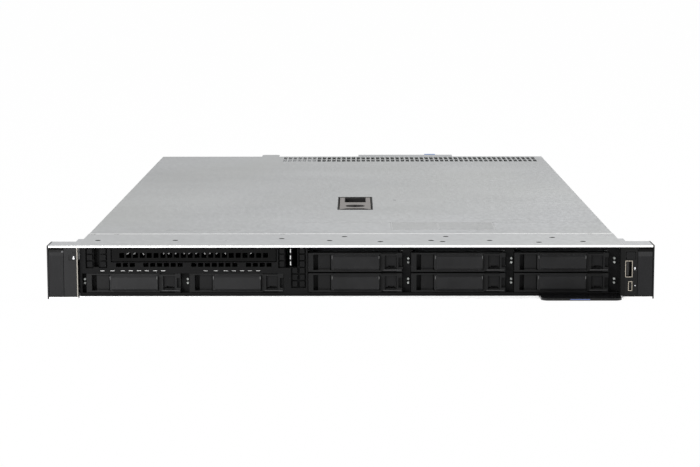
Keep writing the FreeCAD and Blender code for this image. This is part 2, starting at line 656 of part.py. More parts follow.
def front_frame():
    """The moulded frame round the bays: posts, bar, bottom lip, cell grilles and light-pipe holes."""
    front = block(-WALL_X, WALL_X, FRAME_FRONT_Y, WALL_START_Y - GAP / 2, SHEET, WALL_TOP)
    body = block(-INNER_X, INNER_X, FRAME_FRONT_Y, FRAME_BACK_Y, SHEET, WALL_TOP)
    frame = join(front, body)
    y0, y1 = FRAME_FRONT_Y - 1, FRAME_BACK_Y + 1
    sunk = FRAME_FRONT_Y + POST_SINK
    low = ROW_Z - GAP
    rail = WALL_TOP - 3.0
    tools = []
    for x in RIGHT_COLUMNS:
        tools.append(block(x - HALF_BAY, x + HALF_BAY, y0, y1, low, rail))
        tools.append(block(x - HALF_BAY, x + HALF_BAY, y0, FRAME_BACK_Y - 3, rail - 1, WALL_TOP + 1))
        tools.append(block(x + HALF_BAY - 1,
                           x + BAY_PITCH - HALF_BAY + 1 if x < RIGHT_COLUMNS[-1] else WALL_X,
                           y0, sunk, LIP_TOP, WALL_TOP + 1))
    for x in LEFT_COLUMNS:
        tools.append(block(x - HALF_BAY, x + HALF_BAY, y0, y1, low, SHELF_Z))
        tools.append(block(max(-INNER_X + 0.6, x - BAY_PITCH + HALF_BAY), x - HALF_BAY + 1, y0, sunk,
                           LIP_TOP, SHELF_Z))
    tools.append(centred(OPTICAL_X, OPTICAL_WIDTH + 2 * OPTICAL_GAP, y0, y1, OPTICAL_BOTTOM - OPTICAL_GAP,
                         WALL_TOP + 1))
    slot_x = OPTICAL_X - (SLOT_COUNT - 1) * HOLE_PITCH / 2
    for i in range(SLOT_COUNT):
        if i not in SLOT_SOLID:
            tools.append(centred(slot_x + i * HOLE_PITCH, SLOT_WIDTH, y0, y1, SLOT_BOTTOM, SLOT_TOP))
    for i, x in enumerate(LEFT_COLUMNS):
        for step in WINDOW_STEPS[: len(WINDOW_STEPS) - i]:
            tools.append(centred(x - HALF_CARRIER + 13.0 + step, WINDOW_WIDTH, y0, y1, WINDOW_BOTTOM,
                                 WINDOW_TOP))
    left_cells = -WALL_X + 8.0
    tools += cell_grooves(left_cells, 3, CELL_TOP_Z)
    tools += cell_grooves(left_cells + 2 * CELL_PITCH, 3, CELL_TOP_Z)
    tools.append(centred(left_cells + CELL_PITCH, CELL_SIDE, y0, y1 - 2, BAR_TOP, WALL_TOP - 1))
    tools += cell_grooves(DIVIDER_X - 1.25 * CELL_PITCH, 3, CELL_TOP_Z, CELL_SIDE - 0.6)
    tools.append(block(DIVIDER_X - 4.0, DIVIDER_X + 5.8, y0, y1, BAR_TOP - 0.8, WALL_TOP - 1))
    right_cells = RIGHT_COLUMNS[0] - HALF_BAY - CELL_PITCH / 2 - 1.6
    tools += cell_grooves(right_cells, 6, CELL_TOP_Z, CELL_SIDE - 0.4)
    tools += cell_grooves(DIVIDER_X + 3.6, 3, CELL_TOP_Z - 3 * CELL_PITCH, CELL_SIDE - 0.4)
    tools.append(centred(TAG_X, TAG_WIDTH + 2 * GAP, y0, y1, 0, TAG_BOTTOM + TAG_THICKNESS + GAP))
    tools += [faceted("y", (x, y0, z), PIPE_RADIUS, y1 - y0, 6) for x, z in pipe_places()]
    return without(frame, tools)


def pipe_places():
    """X and Z of every light pipe: right of the bays on the right, left of those on the left."""
    places = []
    for x, z in BAYS:
        pipe_x = x + HALF_CARRIER + PIPE_RIGHT if x in RIGHT_COLUMNS else x - HALF_CARRIER - PIPE_LEFT
        places += [(pipe_x, z + PIPE_LOW), (pipe_x, z + PIPE_LOW + PIPE_STEP)]
    return places


def light_pipes():
    """Two clear light pipes a bay, standing a little proud of the sunk posts."""
    y0 = FRAME_FRONT_Y + POST_SINK - PIPE_STAND
    return [faceted("y", (x, y0, z), PIPE_RADIUS, FRAME_BACK_Y - y0, 6) for x, z in pipe_places()]


def optical_blank():
    """The blank over the slim optical bay: an open-backed box with a row of square air holes."""
    y0 = FRAME_FRONT_Y
    box = centred(OPTICAL_X, OPTICAL_WIDTH, y0, y0 + OPTICAL_DEPTH, OPTICAL_BOTTOM,
                  CAGE_TOP - CAGE_SHEET - GAP)
    face = centred(OPTICAL_X, OPTICAL_WIDTH, y0, y0 + BLANK_WALL, OPTICAL_BOTTOM, WALL_TOP - GAP)
    hollow = centred(OPTICAL_X, OPTICAL_WIDTH - 2 * BLANK_WALL, y0 + BLANK_WALL, y0 + OPTICAL_DEPTH + 1,
                     OPTICAL_BOTTOM + BLANK_WALL, CAGE_TOP)
    x0 = OPTICAL_X - (BLANK_HOLES - 1) * HOLE_PITCH / 2
    holes = [centred(x0 + i * HOLE_PITCH, BLANK_HOLE_SIDE, y0 - 1, y0 + BLANK_WALL + 1,
                     BLANK_HOLE_Z - BLANK_HOLE_SIDE / 2, BLANK_HOLE_Z + BLANK_HOLE_SIDE / 2)
             for i in range(BLANK_HOLES)]
    return without(join(without(box, [hollow]), face), holes)


# Drive carrier, lever and button, made in the first bay and copied to the others
def carrier(x, z):
    """The carrier's moulded front with its two rails, and the disk between them."""
    left = x - HALF_CARRIER
    y0, y1 = BEZEL_Y, BEZEL_Y + BEZEL_DEPTH
    top = z + CARRIER_HEIGHT
    bezel = block(left, left + CARRIER_WIDTH, y0, y1, z, top)
    lever_pocket = block(left + LEVER_POCKET_START, left + LEVER_END + 0.6, y0 - 1, y0 + POCKET_DEPTH,
                         z + BEZEL_LIP, top - BEZEL_LIP)
    side_pocket = block(left + BEZEL_TAB, left + LEVER_POCKET_START + 0.5, y0 - 1, y0 + RECESS_DEPTH,
                        z + RECESS_LIP, top - RECESS_LIP + 0.8)
    corner_pocket = block(left + BEZEL_TAB, left + RECESS_START, y0 - 1, y0 + POCKET_DEPTH + 1.5,
                          z + BEZEL_LIP, top - BEZEL_LIP)
    well = block(left + BUTTON_WELL_START, left + BUTTON_WELL_END, y0 - 1, y0 + POCKET_DEPTH,
                 z + BUTTON_WELL_MARGIN, top - BUTTON_WELL_MARGIN)
    notches = [block(left + LEVER_END + 1.6, left + BUTTON_WELL_END, y0 - 1, y0 + 1.6, z0, z0 + 1.0)
               for z0 in (z - 0.2, top - 0.8)]
    notches.append(block(left + BUTTON_WELL_END + 1.4, left + CARRIER_WIDTH + 1, y0 - 1, y0 + 3.0,
                         z + TAB_NOTCH_MARGIN, top - TAB_NOTCH_MARGIN))
    pin = faceted("z", (left + LEVER_START - HINGE_OUTSET, y0 + HINGE_BACK, z - 1),
                  HINGE_PIN_RADIUS + 2 * HINGE_CLEARANCE, CARRIER_HEIGHT + 2, 6)
    front = without(bezel, [lever_pocket, side_pocket, corner_pocket, well, pin] + notches)
    rail_z = z + (CARRIER_HEIGHT - RAIL_HEIGHT) / 2
    disk_y = y0 + DISK_SETBACK
    rails = [
        block(x - RAIL_OUTER, x - DISK_WIDTH / 2, y1, disk_y + DISK_LENGTH, rail_z, rail_z + RAIL_HEIGHT),
        block(x + DISK_WIDTH / 2, x + RAIL_OUTER, y1, disk_y + DISK_LENGTH, rail_z, rail_z + RAIL_HEIGHT),
    ]
    bridge = centred(x, 2 * RAIL_OUTER, y1 - 0.5, disk_y, rail_z, rail_z + RAIL_HEIGHT)
    air = [centred(x + step * BRIDGE_HOLE_PITCH, BRIDGE_HOLE, y1 - 1, disk_y + 1, rail_z + 2,
                   rail_z + RAIL_HEIGHT - 2) for step in (-1.5, -0.5, 0.5, 1.5)]
    bridge = without(bridge, air)
    disk_z = z + (CARRIER_HEIGHT - DISK_HEIGHT) / 2
    disk = centred(x, DISK_WIDTH, disk_y, disk_y + DISK_LENGTH, disk_z, disk_z + DISK_HEIGHT)
    disk = disk.makeChamfer(DISK_CHAMFER, edges_along(disk, "z"))
    return [join(front, bridge, *rails), disk]


def drive_lever(x, z):
    """The ejector lever: a bevelled bar with a hinge barrel at its left end and a catch at its right."""
    left = x - HALF_CARRIER
    y0 = BEZEL_Y - LEVER_PROUD
    back = y0 + LEVER_THICKNESS
    edge = BEZEL_Y - GAP
    top = z + CARRIER_HEIGHT
    high = top - LEVER_TOP_INSET
    low = z + LEVER_BOTTOM_INSET
    profile = [(edge, low), (edge, high), (y0, high - LEVER_BEVEL), (y0, low + LEVER_BEVEL)]
    bar = prism(profile, "x", left + LEVER_START, LEVER_END - LEVER_START)
    rib_z = BEZEL_LIP + GAP
    pin_x = left + LEVER_START - HINGE_OUTSET
    pin_y = BEZEL_Y + HINGE_BACK
    rib = block(pin_x, left + LEVER_END, edge - 0.2, back + 0.6, z + rib_z, top - rib_z)
    barrel = faceted("z", (pin_x, pin_y, z + rib_z), HINGE_BARREL_RADIUS, CARRIER_HEIGHT - 2 * rib_z, 8)
    pin = rod("z", (pin_x, pin_y, z + GAP), HINGE_PIN_RADIUS, CARRIER_HEIGHT - 2 * GAP)
    catch = block(left + LEVER_END - 2.2, left + LEVER_END - 0.8, back, back + 3.0, z + 5.6, top - 5.6)
    return join(bar, rib, barrel, pin, catch)


def drive_button(x, z):
    """The release button in the well at the right end of the carrier."""
    left = x - HALF_CARRIER
    y0 = BEZEL_Y + BUTTON_SINK
    z0, z1 = z + BUTTON_WELL_MARGIN + GAP, z + CARRIER_HEIGHT - BUTTON_WELL_MARGIN - GAP
    cap = block(left + BUTTON_WELL_START + GAP, left + BUTTON_WELL_END - GAP, y0, y0 + BUTTON_THICKNESS,
                z0, z1)
    slot = block(left + BUTTON_WELL_START + 2.4, left + BUTTON_WELL_END - 1.6, y0 - 1, y0 + 1.8, z0 + 0.8,
                 z0 + 2.4)
    return without(cap, [slot])


# Information tag
def info_tag():
    """The pull-out information tag under the right-hand bays."""
    tag = centred(TAG_X, TAG_WIDTH, TAG_FRONT_Y, TAG_FRONT_Y + TAG_LENGTH, TAG_BOTTOM,
                  TAG_BOTTOM + TAG_THICKNESS)
    tag = rounded(tag, TAG_CORNER, "z", lambda p: p.y < TAG_FRONT_Y + 1)
    return tag


# Ears, made on the left side; the right ear's bracket is the mirror image
def ear_bracket(front_y):
    """The folded ear on the left: rack plate, top and bottom flanges, inner wall and fixing arm."""
    x0, x1 = -HALF_RACK + EAR_SKIN, -HALF_WIDTH
    plate = block(x0, x1, -SHEET, 0, 0, CHASSIS_HEIGHT)
    top = block(x0, x1, FRONT_Y, 0, CHASSIS_HEIGHT - FRONT_PANEL_THICKNESS, CHASSIS_HEIGHT)
    bottom = block(x0, x1, FRONT_Y, 0, 0, SHEET)
    hem = block(x0, x1, FRONT_Y, FRONT_Y + SHEET, 0, HEM_HEIGHT)
    wall = block(x1 - SHEET, x1, front_y, EAR_ARM_LENGTH, 0, CHASSIS_HEIGHT)
    arm = block(x1 - EAR_ARM_WIDTH, x1, -SHEET, EAR_ARM_LENGTH, CHASSIS_HEIGHT - SHEET, CHASSIS_HEIGHT)
    hole = rod("y", (-RACK_HOLE_X, -2 * SHEET, CHASSIS_HEIGHT / 2), RACK_HOLE_RADIUS, 4 * SHEET)
    return without(join(plate, top, bottom, hem, wall, arm), [hole])


def ear_latch_pivot():
    """Y and Z of the axis that an ear latch turns on."""
    return FRONT_Y + LATCH_NOSE_RADIUS + 0.1, CHASSIS_HEIGHT - LATCH_PIVOT_DROP


def ear_housing(inner_x):
    """The moulded housing of the left ear: control strip, rear web and outer skin in one piece."""
    strip_x = -HALF_WIDTH - SHEET - EAR_INNER_STRIP
    z0, z1 = HEM_HEIGHT, CHASSIS_HEIGHT - FRONT_PANEL_THICKNESS
    strip = block(strip_x, -HALF_WIDTH - SHEET, FRONT_Y + 0.3, -SHEET, z0, z1)
    web = block(-HALF_RACK, strip_x, -SHEET - EAR_WEB, -SHEET, z0, z1)
    skin = block(-HALF_RACK, -HALF_RACK + EAR_SKIN, FRONT_Y, 0, 0, CHASSIS_HEIGHT)
    pivot_y, pivot_z = ear_latch_pivot()
    bore = faceted("x", (-HALF_RACK - 1, pivot_y, pivot_z), LATCH_PIN_RADIUS + HINGE_CLEARANCE,
                   strip_x + 1.4 + HALF_RACK + 1)
    tool_hole = rod("y", (-RACK_HOLE_X, -SHEET - EAR_WEB - 1, CHASSIS_HEIGHT / 2),
                    EAR_TOOL_HOLE_RADIUS, EAR_WEB + 1)
    parts = [strip, web, skin]
    if inner_x > -HALF_WIDTH - SHEET:
        parts.append(block(-HALF_WIDTH - SHEET, inner_x, FRONT_Y + 0.3, FRONT_Y + 1.8, z0, z1))
    return without(join(*parts), [bore, tool_hole])


def control_panel_left():
    """The left ear's housing, with the flat lens of its status light."""
    lens = centred(-HALF_WIDTH - SHEET - 4.2, 3.4, FRONT_Y, FRONT_Y + 1, 30.6, 35.4)
    return without(ear_housing(-HALF_WIDTH - SHEET), [lens])


def control_panel_right():
    """The right ear's housing, with the sockets' openings and the power button's well."""
    housing = mirrored(ear_housing(-INNER_X - 0.1))
    y0 = FRONT_Y - 1
    usb = centred(PORT_X, USB_WIDTH, y0, FRONT_Y + 0.3 + USB_DEPTH, USB_Z - USB_HEIGHT / 2,
                  USB_Z + USB_HEIGHT / 2)
    micro = centred(PORT_X + 1.2, MICRO_WIDTH, y0, FRONT_Y + 0.3 + MICRO_DEPTH,
                    MICRO_Z - MICRO_HEIGHT / 2, MICRO_Z + MICRO_HEIGHT / 2)
    well = centred(PORT_X + 1.4, POWER_WIDTH + 2 * GAP, y0, FRONT_Y + 0.3 + POWER_DEPTH,
                   POWER_Z - POWER_HEIGHT / 2 - GAP, POWER_Z + POWER_HEIGHT / 2 + GAP)
    return without(housing, [usb, micro, well])


def port_shell(x, width, height, z, depth):
    """A metal socket shell with its contact tongue, opening towards -Y."""
    y0 = FRONT_Y
    outer = centred(x, width, y0, FRONT_Y + 0.3 + depth, z - height / 2, z + height / 2)
    inner = centred(x, width - 2 * PORT_SHELL, y0 - 1, FRONT_Y - 0.7 + depth,
                    z - height / 2 + PORT_SHELL, z + height / 2 - PORT_SHELL)
    return without(outer, [inner])


def front_ports():
    """The shells and tongues of the two front sockets."""
    usb = port_shell(PORT_X, USB_WIDTH, USB_HEIGHT, USB_Z, USB_DEPTH)
    micro = port_shell(PORT_X + 1.2, MICRO_WIDTH, MICRO_HEIGHT, MICRO_Z, MICRO_DEPTH)
    usb_tongue = centred(PORT_X - 0.9, 1.6, FRONT_Y + 1.2, FRONT_Y - 0.7 + USB_DEPTH,
                         USB_Z - USB_HEIGHT / 2 + 1.2, USB_Z + USB_HEIGHT / 2 - 1.2)
    micro_tongue = centred(PORT_X + 1.2, 0.7, FRONT_Y + 1.0, FRONT_Y - 0.7 + MICRO_DEPTH,
                           MICRO_Z - MICRO_HEIGHT / 2 + 1.4, MICRO_Z + MICRO_HEIGHT / 2 - 1.4)
    return [usb, micro, usb_tongue, micro_tongue]


def power_button():
    """The power button's cap."""
    cap = centred(PORT_X + 1.4, POWER_WIDTH, FRONT_Y + 0.3 - POWER_PROUD, FRONT_Y + 0.3 + POWER_DEPTH - 2.2,
                  POWER_Z - POWER_HEIGHT / 2, POWER_Z + POWER_HEIGHT / 2)
    return rounded(cap, 1.2, "y")


def ear_latch():
    """The left slam latch: a curved front shell on two pivot pins, with the claw that grips the rail."""
    strip_x = -HALF_WIDTH - SHEET - EAR_INNER_STRIP
    x0, x1 = -HALF_RACK + EAR_SKIN + EAR_GAP, strip_x - EAR_GAP
    pivot_y, pivot_z = ear_latch_pivot()
    nose = faceted("x", (x0, pivot_y, pivot_z), LATCH_NOSE_RADIUS, x1 - x0, 24)
    foot = HEM_HEIGHT + 0.4
    shell = block(x0, x1, FRONT_Y + 0.1, FRONT_Y + 0.1 + LATCH_WALL, foot, pivot_z)
    side = [block(x, x + 1.2, FRONT_Y + 0.1, FRONT_Y + 8, foot + 6, pivot_z) for x in (x0, x1 - 1.2)]
    claw = block(x0 + 3.0, x1 - 3.0, FRONT_Y + 1, -SHEET - EAR_WEB - 1.2,
                 LATCH_CLAW_Z, LATCH_CLAW_Z + LATCH_CLAW_HEIGHT)
    pin = rod("x", (x0 - LATCH_PIN_LENGTH, pivot_y, pivot_z), LATCH_PIN_RADIUS,
              x1 - x0 + 2 * LATCH_PIN_LENGTH)
    return join(nose, shell, *side, claw, pin)


# Cooling
def fan_xs():
    """The fans' X places, centred in the chassis."""
    return [(i - (FAN_COUNT - 1) / 2) * FAN_PITCH for i in range(FAN_COUNT)]


def fan_axis_z():
    """Height of the fans' axes."""
    return SHEET + GAP + FAN_SIDE / 2


def fan_housing(x):
    """One fan's square duct, with the strutted motor mount at its outlet."""
    z = fan_axis_z()
    y1 = FAN_FRONT_Y + FAN_LENGTH
    duct = centred(x, FAN_SIDE, FAN_FRONT_Y, y1, z - FAN_SIDE / 2, z + FAN_SIDE / 2)
    bore = faceted("y", (x, FAN_FRONT_Y - 1, z), FAN_BORE_RADIUS, FAN_LENGTH + 2, 16)
    duct = without(duct, [bore])
    hub_y = FAN_FRONT_Y + FAN_INLET + FAN_ROTOR_LENGTH + 1.0
    mount = faceted("y", (x, hub_y, z), FAN_HUB_RADIUS, y1 - hub_y)
    reach = FAN_BORE_RADIUS + 0.4
    struts = [centred(x, 2 * reach, y1 - 3, y1, z - FAN_STRUT / 2, z + FAN_STRUT / 2),
              centred(x, FAN_STRUT, y1 - 3, y1, z - reach, z + reach)]
    shaft_bore = faceted("y", (x, hub_y - 1, z), FAN_SHAFT_RADIUS + FAN_SHAFT_CLEARANCE,
                         FAN_SHAFT_REACH + 3.0, 8)
    return without(join(duct, mount, *struts), [shaft_bore])


def fan_rotor(x):
    """One impeller: a hub on its shaft with pitched blades, their corners on the swept circle."""
    z = fan_axis_z()
    y0 = FAN_FRONT_Y + FAN_INLET
    hub = faceted("y", (x, y0, z), FAN_HUB_RADIUS, FAN_ROTOR_LENGTH)
    shaft = rod("y", (x, y0 + 1, z), FAN_SHAFT_RADIUS, FAN_ROTOR_LENGTH + FAN_SHAFT_REACH)
    pitch = math.radians(FAN_BLADE_PITCH_DEG)
    chord = (FAN_ROTOR_LENGTH - 1) / math.cos(pitch) - FAN_BLADE_THICKNESS
    side = chord / 2 * math.sin(pitch) + FAN_BLADE_THICKNESS
    tip = math.sqrt((FAN_BORE_RADIUS - FAN_BLADE_CLEARANCE) ** 2 - side ** 2)
    middle = Vector(x, y0 + FAN_ROTOR_LENGTH / 2, z)
    blades = []
    for i in range(FAN_BLADES):
        blade = block(x - FAN_BLADE_THICKNESS / 2, x + FAN_BLADE_THICKNESS / 2, middle.y - chord / 2,
                      middle.y + chord / 2, z + FAN_HUB_RADIUS / 2, z + tip)
        blade.rotate(middle, Vector(0, 0, 1), FAN_BLADE_PITCH_DEG)
        blade.rotate(middle, Vector(0, 1, 0), 360.0 * i / FAN_BLADES)
        blades.append(blade)
    return join(hub, shaft, *blades)


# Boards, processors and memory
def dimm_xs():
    """X places of all memory modules, in one bank on each side of each processor."""
    places = []
    for centre in (-PROCESSOR_X, PROCESSOR_X):
        for side in (-1, 1):
            first = HEATSINK_WIDTH / 2 + DIMM_PITCH * 0.6
            places += [centre + side * (first + i * DIMM_PITCH) for i in range(DIMM_PER_BANK)]
    return places


def motherboard():
    """The main board on its standoffs, with processor sockets, memory sockets and the riser card."""
    side = INNER_X - MAIN_BOARD_SIDE_GAP
    rear = REAR_Y - MAIN_BOARD_REAR_GAP
    notch_x = SUPPLY_X + SUPPLY_WIDTH / 2 + 3.0
    outline = [(-side, MAIN_BOARD_FRONT_Y), (side, MAIN_BOARD_FRONT_Y), (side, rear), (notch_x, rear),
               (notch_x, MAIN_BOARD_STEP_Y), (-side, MAIN_BOARD_STEP_Y)]
    board = prism(outline, "z", MAIN_BOARD_Z, BOARD)
    standoffs = [faceted("z", (x, y, SHEET), STANDOFF_RADIUS, MAIN_BOARD_Z - SHEET, 6)
                 for x, y in ((-side + 8, MAIN_BOARD_FRONT_Y + 10), (side - 8, MAIN_BOARD_FRONT_Y + 10),
                              (-side + 8, MAIN_BOARD_STEP_Y - 10), (side - 8, MAIN_BOARD_STEP_Y - 10),
                              (0.0, MAIN_BOARD_STEP_Y - 10), (notch_x + 10, rear - 40),
                              (side - 8, rear - 40))]
    sockets = [centred(x, 58.0, PROCESSOR_Y - 40, PROCESSOR_Y + 40, BOARD_TOP, BOARD_TOP + SOCKET_HEIGHT)
               for x in (-PROCESSOR_X, PROCESSOR_X)]
    dimm_y = PROCESSOR_Y - DIMM_LENGTH / 2
    slots = []
    for x in dimm_xs():
        body = centred(x, DIMM_SOCKET_WIDTH, dimm_y - 4, dimm_y + DIMM_LENGTH + 4, BOARD_TOP,
                       BOARD_TOP + DIMM_SOCKET_HEIGHT)
        groove = centred(x, DIMM_THICKNESS, dimm_y, dimm_y + DIMM_LENGTH,
                         BOARD_TOP + DIMM_SOCKET_HEIGHT - DIMM_SINK, BOARD_TOP + DIMM_SOCKET_HEIGHT + 1)
        slots.append(without(body, [groove]))
    riser = centred(RISER_X, BOARD, RISER_FRONT_Y, RISER_FRONT_Y + RISER_LENGTH, BOARD_TOP, RISER_TOP)
    y0, y1 = [RISER_FRONT_Y + end for end in RISER_SLOT_ENDS]
    faces = (RISER_X - BOARD / 2 - RISER_SLOT_DEPTH, RISER_X + BOARD / 2)
    card_slots = [block(x, x + RISER_SLOT_DEPTH, y0, y1, *RISER_SLOT_Z) for x in reversed(faces)]
    return [board] + standoffs + sockets + slots + [riser] + card_slots


def heatsink(x):
    """One processor heatsink: a base plate with straight fins along the airflow."""
    z0 = BOARD_TOP + SOCKET_HEIGHT
    y0 = PROCESSOR_Y - HEATSINK_LENGTH / 2
    base = centred(x, HEATSINK_WIDTH, y0, y0 + HEATSINK_LENGTH, z0, z0 + HEATSINK_BASE)
    step = (HEATSINK_WIDTH - FIN_THICKNESS) / (HEATSINK_FINS - 1)
    fins = [block(x - HEATSINK_WIDTH / 2 + i * step, x - HEATSINK_WIDTH / 2 + i * step + FIN_THICKNESS,
                  y0, y0 + HEATSINK_LENGTH, z0 + HEATSINK_BASE, HEATSINK_TOP) for i in range(HEATSINK_FINS)]
    return join(base, *fins)


def memory_modules():
    """The memory modules, upright in their sockets."""
    y0 = PROCESSOR_Y - DIMM_LENGTH / 2
    z0 = BOARD_TOP + DIMM_SOCKET_HEIGHT - DIMM_SINK
    return [centred(x, DIMM_THICKNESS, y0, y0 + DIMM_LENGTH, z0, z0 + DIMM_HEIGHT - DIMM_SINK)
            for x in dimm_xs()]


# Power supply
def power_supply():
    """The hot-swap supply: case, mains inlet with three pins, fan guard recess and fixed handle."""
    rear = SUPPLY_REAR_Y
    z0, z1 = SUPPLY_BOTTOM, SUPPLY_BOTTOM + SUPPLY_HEIGHT
    case = centred(SUPPLY_X, SUPPLY_WIDTH, rear - SUPPLY_LENGTH, rear, z0, z1)
    inlet_z = z0 + INLET_Z
    inlet_x = SUPPLY_X + INLET_X
    inlet = centred(inlet_x, INLET_WIDTH, rear - INLET_DEPTH, rear + 1, inlet_z - INLET_HEIGHT / 2,
                    inlet_z + INLET_HEIGHT / 2)
    pins = [centred(inlet_x + dx, 2 * PIN_HALF, rear - INLET_DEPTH - 1, rear - 3, inlet_z + dz - PIN_TALL / 2,
                    inlet_z + dz + PIN_TALL / 2) for dx, dz in ((-7, -3), (7, -3), (0, 1))]
    grille = faceted("y", (SUPPLY_X + SUPPLY_FAN_X, rear - 5, z0 + SUPPLY_HEIGHT / 2), SUPPLY_FAN_RADIUS,
                     6, 24)
    spokes = [centred(SUPPLY_X + SUPPLY_FAN_X, 2 * SUPPLY_FAN_RADIUS + 1, rear - 1.5, rear,
                      z0 + SUPPLY_HEIGHT / 2 + dz - 0.6, z0 + SUPPLY_HEIGHT / 2 + dz + 0.6)
              for dz in (-10, -5, 0, 5, 10)]
    handle_x = SUPPLY_X + HANDLE_X
    handle = centred(handle_x, HANDLE_WIDTH, rear - 1, rear + HANDLE_REACH, HANDLE_BOTTOM, HANDLE_TOP)
    gap = centred(handle_x, HANDLE_WIDTH + 2, rear, rear + HANDLE_REACH - HANDLE_BAR,
                  HANDLE_BOTTOM + HANDLE_BAR, HANDLE_TOP - HANDLE_BAR)
    handle = rounded(without(handle, [gap]), 3.5, "x", lambda p: p.y > rear + HANDLE_REACH - 0.1)
    latch_well = centred(latch_x(), SUPPLY_LATCH_WIDTH + 2 * GAP, rear - 6, rear + 1, z1 - 12.0 - GAP,
                         z1 - 3.0 + GAP)
    return join(without(case, [inlet, grille, latch_well]), *pins, *spokes, handle)


def latch_x():
    """X of the supply's release latch, above its inlet."""
    return SUPPLY_X + INLET_X


def power_supply_latch():
    """The release latch that is squeezed sideways to free the supply."""
    rear = SUPPLY_REAR_Y
    z1 = SUPPLY_BOTTOM + SUPPLY_HEIGHT
    width = SUPPLY_LATCH_WIDTH - SUPPLY_LATCH_TRAVEL
    x0 = latch_x() - SUPPLY_LATCH_WIDTH / 2
    latch = block(x0, x0 + width, rear - 5.5, rear + SUPPLY_LATCH_REACH, z1 - 12.0, z1 - 3.0)
    return rounded(latch, 1.5, "z", lambda p: p.y > rear + 1)


def supply_blank():
    """The sheet blank over the second supply's bay."""
    z0, z1 = SUPPLY_BOTTOM, SUPPLY_BOTTOM + SUPPLY_HEIGHT
    face = centred(BLANK_SUPPLY_X, SUPPLY_WIDTH, REAR_Y - SHEET, REAR_Y, z0, z1)
    sides = [block(x, x + SHEET, REAR_Y - BLANK_SIDE_LENGTH, REAR_Y - SHEET, z0, z1)
             for x in (BLANK_SUPPLY_X - SUPPLY_WIDTH / 2, BLANK_SUPPLY_X + SUPPLY_WIDTH / 2 - SHEET)]
    grip_z = z0 + (SUPPLY_HEIGHT - BLANK_GRIP_HEIGHT) / 2
    grip = centred(BLANK_SUPPLY_X, BLANK_GRIP_WIDTH, REAR_Y - 2 * SHEET, REAR_Y + SHEET, grip_z,
                   grip_z + BLANK_GRIP_HEIGHT)
    reach = BLANK_GRIP_WIDTH / 2 + BLANK_SLOT_MARGIN
    slots = [centred(BLANK_SUPPLY_X + side * (reach + i * VENT_HOLE_PITCH), VENT_HOLE_SIDE,
                     REAR_Y - 2 * SHEET, REAR_Y + SHEET, z0 + BLANK_SLOT_MARGIN, z1 - BLANK_SLOT_MARGIN)
             for side in (-1, 1) for i in range(BLANK_SLOTS)]
    return without(join(face, *sides), [grip] + slots)


# Rear wall fittings
def slot_covers():
    """The perforated blanks over the expansion slots."""
    covers = []
    for x in SLOT_COVER_X:
        plate = centred(x, SLOT_COVER_WIDTH, REAR_Y - 2 * SHEET, REAR_Y - SHEET, SLOT_COVER_Z,
                        SLOT_COVER_Z + SLOT_COVER_HEIGHT)
        middle = (COVER_SLOTS - 1) / 2
        holes = [centred(x + (i - middle) * COVER_SLOT_PITCH, VENT_HOLE_SIDE, REAR_Y - 3 * SHEET, REAR_Y,
                         SLOT_COVER_Z + COVER_SLOT_MARGIN,
                         SLOT_COVER_Z + SLOT_COVER_HEIGHT - COVER_SLOT_MARGIN)
                 for i in range(COVER_SLOTS)]
        covers.append(without(plate, holes))
    return covers


def retainer_pivot():
    """Y and Z of the axis that the slot retainer turns on."""
    return REAR_Y + RETAINER_PIVOT_BACK, CHASSIS_HEIGHT - RETAINER_PIVOT_DROP


def retainer_lugs():
    """The two lugs on the rear wall that hold the slot retainer's pin."""
    pivot_y, pivot_z = retainer_pivot()
    lugs = []
    for side in (-1, 1):
        x = RETAINER_X + side * (RETAINER_WIDTH / 2 + GAP + RETAINER_LUG / 2)
        lug = centred(x, RETAINER_LUG, REAR_Y - SHEET / 2, pivot_y + 1.4, pivot_z - 3.0, WALL_TOP)
        bore = faceted("x", (x - RETAINER_LUG, pivot_y, pivot_z), RETAINER_PIN_RADIUS + HINGE_CLEARANCE,
                       2 * RETAINER_LUG)
        lugs.append(without(lug, [bore]))
    return lugs


def slot_retainer():
    """The hinged flap that holds the expansion slots' brackets, with its touch tab and pivot pin."""
    pivot_y, pivot_z = retainer_pivot()
    y0 = pivot_y - 1.0
    y1 = y0 + RETAINER_REACH
    z1 = CHASSIS_HEIGHT - 0.2
    plate = centred(RETAINER_X, RETAINER_WIDTH, y0, y1, z1 - SHEET, z1)
    lip = centred(RETAINER_X, RETAINER_WIDTH, y1 - SHEET, y1, z1 - RETAINER_LIP, z1)
    flap = join(plate, lip)
    x0 = RETAINER_X - RETAINER_WIDTH / 2
    web = centred(RETAINER_X, RETAINER_WIDTH, pivot_y - 0.6, pivot_y + 0.6, pivot_z, z1)
    barrel = faceted("x", (x0, pivot_y, pivot_z), RETAINER_BARREL_RADIUS, RETAINER_WIDTH)
    pin = rod("x", (x0 - RETAINER_LUG, pivot_y, pivot_z), RETAINER_PIN_RADIUS,
              RETAINER_WIDTH + 2 * RETAINER_LUG)
    tab = centred(RETAINER_TAB_X, RETAINER_TAB_WIDTH, y1, y1 + RETAINER_TAB_REACH, z1 - 2.4, z1 + 0.1)
    tab = tab.makeChamfer(1.4, edges_along(tab, "z", lambda p: p.y > y1 + 1))
    return [join(flap, web, barrel, pin), tab]


